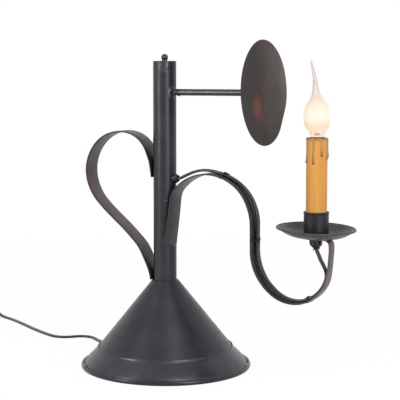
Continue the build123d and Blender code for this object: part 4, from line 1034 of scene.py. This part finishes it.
# the pan sits a little crooked: its edge is lower at the front and at the far side of the arm
tipped = []
for x, y, z in verts:
    dx = x - candle_x
    share = min(1.0, max(0.0, (sqrt(dx * dx + y * y) - 13.2) / 6))
    fall = PAN_FORWARD * (FRONT_X * dx + FRONT_Y * y) + PAN_SIDE * (FRONT_X * y - FRONT_Y * dx)
    tipped.append((x, y, z + (PAN_LIFT - fall) * smooth_step(share)))
pan = make_mesh("drip_pan_spun", (tipped, faces), pan_paint, split=50)
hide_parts("drip_pan")

CUP_R, CUP_WALL, CUP_H = 13.1, 1.2, 25.9
cup_low = pan_low + PAN_SHEET
cup_floor = cup_low + CUP_WALL
cup_top = cup_low + CUP_H
cup_out, cup_in = CUP_R - 0.1, CUP_R - CUP_WALL
profile = [(NIPPLE_R, cup_low), (CUP_R - 1.3, cup_low), (CUP_R - 0.5, cup_low + 0.35), (cup_out, cup_low + 1.2)]
profile += [(cup_out, cup_low + 8), (cup_out, cup_low + 16), (cup_out, cup_top - 2.4), (CUP_R, cup_top - 0.9)]
for t in range(-20, 181, 20):
    profile.append((CUP_R - 0.2 + 0.6 * cos(radians(t)), cup_top + 0.2 + 0.6 * sin(radians(t))))
profile += [(cup_in, cup_top - 1.2), (cup_in, cup_floor), (NIPPLE_R, cup_floor)]
shape = lathe(profile, (candle_x, 0, 0), steps=96)
cup = make_mesh("candle_cup_drawn", shape, cup_paint, split=45)
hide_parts("candle_cup")


# Candle sleeve with its wax: drips and a rim stand out of the tan cover

SLEEVE_R, SLEEVE_WALL, SLEEVE_LEN = 11.0, 0.9, 100.0
sleeve_low = cup_floor + 1.3
sleeve_top = sleeve_low + SLEEVE_LEN
FIRST_DRIP, DRIP_R = -133.0, 1.5
DRIP_TURNS = (8, 3, 0, -7, -26, 0, 0, 0)
DRIP_LENGTHS = (25.8, 26.4, 18.6, 22.2, 20.5, 24.0, 19.5, 23.0)


def drip_at(angle, z):
    """height of the wax over the sleeve and how far down its drip a place is"""
    best, low = 0.0, 0.0
    for k, (length, turn) in enumerate(zip(DRIP_LENGTHS, DRIP_TURNS)):
        # the first drip's foot has run off to the side
        slide = -19.0 * fade(abs(sleeve_top - length + 1 - z), 6) if k == 0 else 0.0
        centre = FIRST_DRIP + 360 / len(DRIP_TURNS) * k + turn + slide + 1.2 * sin(z * 0.3 + 2 * k)
        across = radians((angle - centre + 180) % 360 - 180) * SLEEVE_R
        foot = sleeve_top - length + DRIP_R
        down = max(0.0, foot - z)
        near = fade(z - foot, 9) if z > foot else 1.0
        half = 0.85 + 0.5 * near
        d = sqrt((across / half) ** 2 + (down / DRIP_R) ** 2)
        h = (0.75 + 0.55 * near) * sqrt(max(0.0, 1 - d * d))
        if h > best:
            best, low = h, near
    a = radians(angle)
    rim_half = 1.5 + 0.8 * wobble(cos(a) * 3, sin(a) * 3, 4)
    rim = 0.55 * sqrt(fade(abs(sleeve_top - 0.9 - z), rim_half))
    return (rim, 0.0) if rim > best else (best, low)


def sleeve_point(r, a, z):
    """a point of the sleeve, lower near its top where the wax rim sags"""
    drop = 0.75 * (1 + cos(a + radians(61))) / 2 + 0.35 * (0.5 + wobble(cos(a) * 2, sin(a) * 2, 7))
    sag = (drop - 0.75) * fade(sleeve_top - z, 6)
    return (candle_x + r * cos(a), r * sin(a), z - sag)


A_STEPS = 220
levels = [sleeve_low + (sleeve_top - 32 - sleeve_low) * i / 10 for i in range(10)]
levels += [sleeve_top - 32 + 31.6 * i / 72 for i in range(73)]
verts, wax, tips = [], [], []
for z in levels:
    for i in range(A_STEPS):
        angle = 360 * i / A_STEPS
        a = radians(angle)
        h, near = drip_at(angle, z)
        r = SLEEVE_R - 0.08 + 0.05 * wobble(cos(a) * 2, sin(a) * 2, z * 0.05) + h
        verts.append(sleeve_point(r, a, z))
        wax.append(min(1, h / 0.35))
        tips.append(near ** 3 if h > 0.15 else 0.0)
bore = SLEEVE_R - SLEEVE_WALL
rims = [(SLEEVE_R + 0.1, sleeve_top), (SLEEVE_R - 0.45, sleeve_top), (bore, sleeve_top - 0.3),
        (bore, sleeve_top - 12), (bore, sleeve_low)]
for r, z in rims:
    for a in turns(A_STEPS):
        verts.append(sleeve_point(r, a, z))
        wax.append(1.0 if r < SLEEVE_R - 0.1 else 0.0)
        tips.append(1.0 if r < SLEEVE_R - 0.5 else 0.0)
faces = []
for j in range(len(levels) + len(rims)):
    for i in range(A_STEPS):
        k = (i + 1) % A_STEPS
        row, below = j * A_STEPS, (j + 1) * A_STEPS % len(verts)
        faces.append((row + i, row + k, below + k, below + i))


def paint_attribute(obj, name, values):
    layer = obj.data.attributes.new(name, "FLOAT", "POINT")
    for item, value in zip(layer.data, values):
        item.value = value


sleeve = make_mesh("candle_sleeve_wax", (verts, faces), sleeve_wax, split=70)
paint_attribute(sleeve, "wax", wax)
paint_attribute(sleeve, "tip", tips)
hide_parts("candle_sleeve")


# Bulb: a dipped skin drawn out into a leaning tail, as rows of height, radius and lean, over a filament

bulb_rows = [
    (256.85, 7.0, 0), (258.5, 7.0, 0), (260.4, 7.0, 0), (261.3, 7.2, 0), (262.6, 7.9, 0), (264.3, 8.9, 0),
    (266.3, 10.6, 0), (268.4, 12.1, 0), (272.5, 13.6, 0), (276.5, 14.05, 0), (280.6, 14.1, 0), (284.7, 13.85, 0),
    (288.7, 13.0, 0), (292.8, 11.1, -0.1), (296.9, 8.1, -0.5), (301.0, 5.4, -1.1), (307.1, 3.5, -1.9),
    (317.2, 2.2, -2.9), (327.4, 1.65, -5.0), (333.0, 1.2, -6.6), (336.4, 0.8, -7.5),
]


def smooth_rows(rows, steps):
    """a smooth run through rows of numbers, with steps in between each pair"""
    out = []
    for i in range(len(rows) - 1):
        p0, p1, p2 = rows[max(i - 1, 0)], rows[i], rows[i + 1]
        p3 = rows[min(i + 2, len(rows) - 1)]
        for k in range(steps):
            t = k / steps
            out.append(tuple(
                0.5 * (2 * b + (c - a) * t + (2 * a - 5 * b + 4 * c - d) * t * t + (3 * b - a - 3 * c + d) * t ** 3)
                for a, b, c, d in zip(p0, p1, p2, p3)))
    out.append(tuple(rows[-1]))
    return out


def bulb_ring(x, z, r):
    return [(candle_x + x + r * cos(a), r * sin(a), z) for a in turns(72)]


rings = [bulb_ring(lean, z, r) for z, r, lean in smooth_rows(bulb_rows, 4)]
z, r, lean = bulb_rows[-1]
rings += [bulb_ring(lean - 0.1, z + up, share * r) for share, up in ((0.8, 0.35), (0.45, 0.6))]
bulb = make_mesh("bulb_flame_dipped", skin(rings), bulb_glass, split=60, body="bulb")
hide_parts("bulb_flame")
wire = []
for i in range(60):
    t = i / 59
    wire.append(Vector((
        candle_x - 2.6 + 4.6 * t, 1.1 * cos(22 * t), 262.4 + 1.1 * sin(22 * t) + 0.7 * sin(pi * t))))
make_mesh("bulb_filament", tube(wire, 0.6, 6), filament, split=60, body="bulb")


# Lighting

COOL = (0.86, 0.92, 1.0)
PALE = (0.88, 0.93, 1.0)
AIM = Vector((0.03, 0, 0.17))


def bare_tree(owner):
    """the emptied node tree of a world or a material"""
    owner.use_nodes = True
    owner.node_tree.nodes.clear()
    return owner.node_tree


def seen_ray(tree):
    """1 for camera, glossy and transmission rays"""
    rays = node(tree, "LightPath").outputs
    seen = calc(tree, "MAXIMUM", rays["Is Camera Ray"], rays["Is Glossy Ray"])
    return calc(tree, "MAXIMUM", seen, rays["Is Transmission Ray"])


def mix_shader(tree, factor, low, high):
    return node(tree, "MixShader", {"Fac": factor, 1: low, 2: high}).outputs[0]


scene.world = bpy.data.worlds.new("studio")
tree = bare_tree(scene.world)
ambient = node(tree, "Background", {"Color": (0.95, 0.97, 1.0, 1), "Strength": 0.75}).outputs[0]
white = node(tree, "Background", {"Color": (1, 1, 1, 1), "Strength": 1.0}).outputs[0]
node(tree, "OutputWorld", {"Surface": mix_shader(tree, seen_ray(tree), ambient, white)})


def area(name, place, size, power, colour):
    """a rectangular lamp that faces the object"""
    data = bpy.data.lights.new(name, "AREA")
    data.shape = "RECTANGLE"
    data.size, data.size_y = size
    data.energy = power
    data.color = colour
    obj = put(name, data)
    obj.location = place
    obj.rotation_euler = (AIM - Vector(place)).to_track_quat("-Z", "Y").to_euler()


def around(turn, distance, height):
    """a place seen from the lamp, turned from the camera's direction; positive is to the camera's right"""
    a = radians(CAMERA_TURN - 90 + turn)
    return (distance * cos(a), distance * sin(a), height)


area("key_left", around(-59, 1.35, 0.50), (0.34, 0.75), 9.5, COOL)
area("key_right", around(31, 1.35, 0.50), (0.52, 0.75), 10.4, PALE)
area("high_left", around(-58, 1.0, 1.25), (0.35, 0.35), 0.8, COOL)
area("high_right", around(23, 1.0, 1.22), (0.55, 0.35), 4.6, PALE)

scene.view_settings.view_transform = "Standard"

# A white floor that keeps the object's shadow and fades into the background
floor_mat = bpy.data.materials.new("floor")
tree = bare_tree(floor_mat)
matt = node(tree, "BsdfDiffuse", {"Color": (0.88, 0.88, 0.88, 1)}).outputs[0]
glow = node(tree, "Emission", {"Color": (1, 1, 1, 1), "Strength": 1.0}).outputs[0]
reach = node(tree, "VectorMath", {0: object_place(tree)}, operation="LENGTH").outputs["Value"]
faded = mix_shader(tree, remap(tree, reach, 0.35, 1.2, 0.93, 1.0), matt, glow)
node(tree, "OutputMaterial", {"Surface": mix_shader(tree, seen_ray(tree), matt, faded)})
FLOOR = 6.0
floor_mesh = bpy.data.meshes.new("floor")
corners = [(x * FLOOR, y * FLOOR, 0) for x, y in ((-1, -1), (1, -1), (1, 1), (-1, 1))]
floor_mesh.from_pydata(corners, [], [(0, 1, 2, 3)])
floor_mesh.materials.append(floor_mat)
floor = put("floor", floor_mesh)
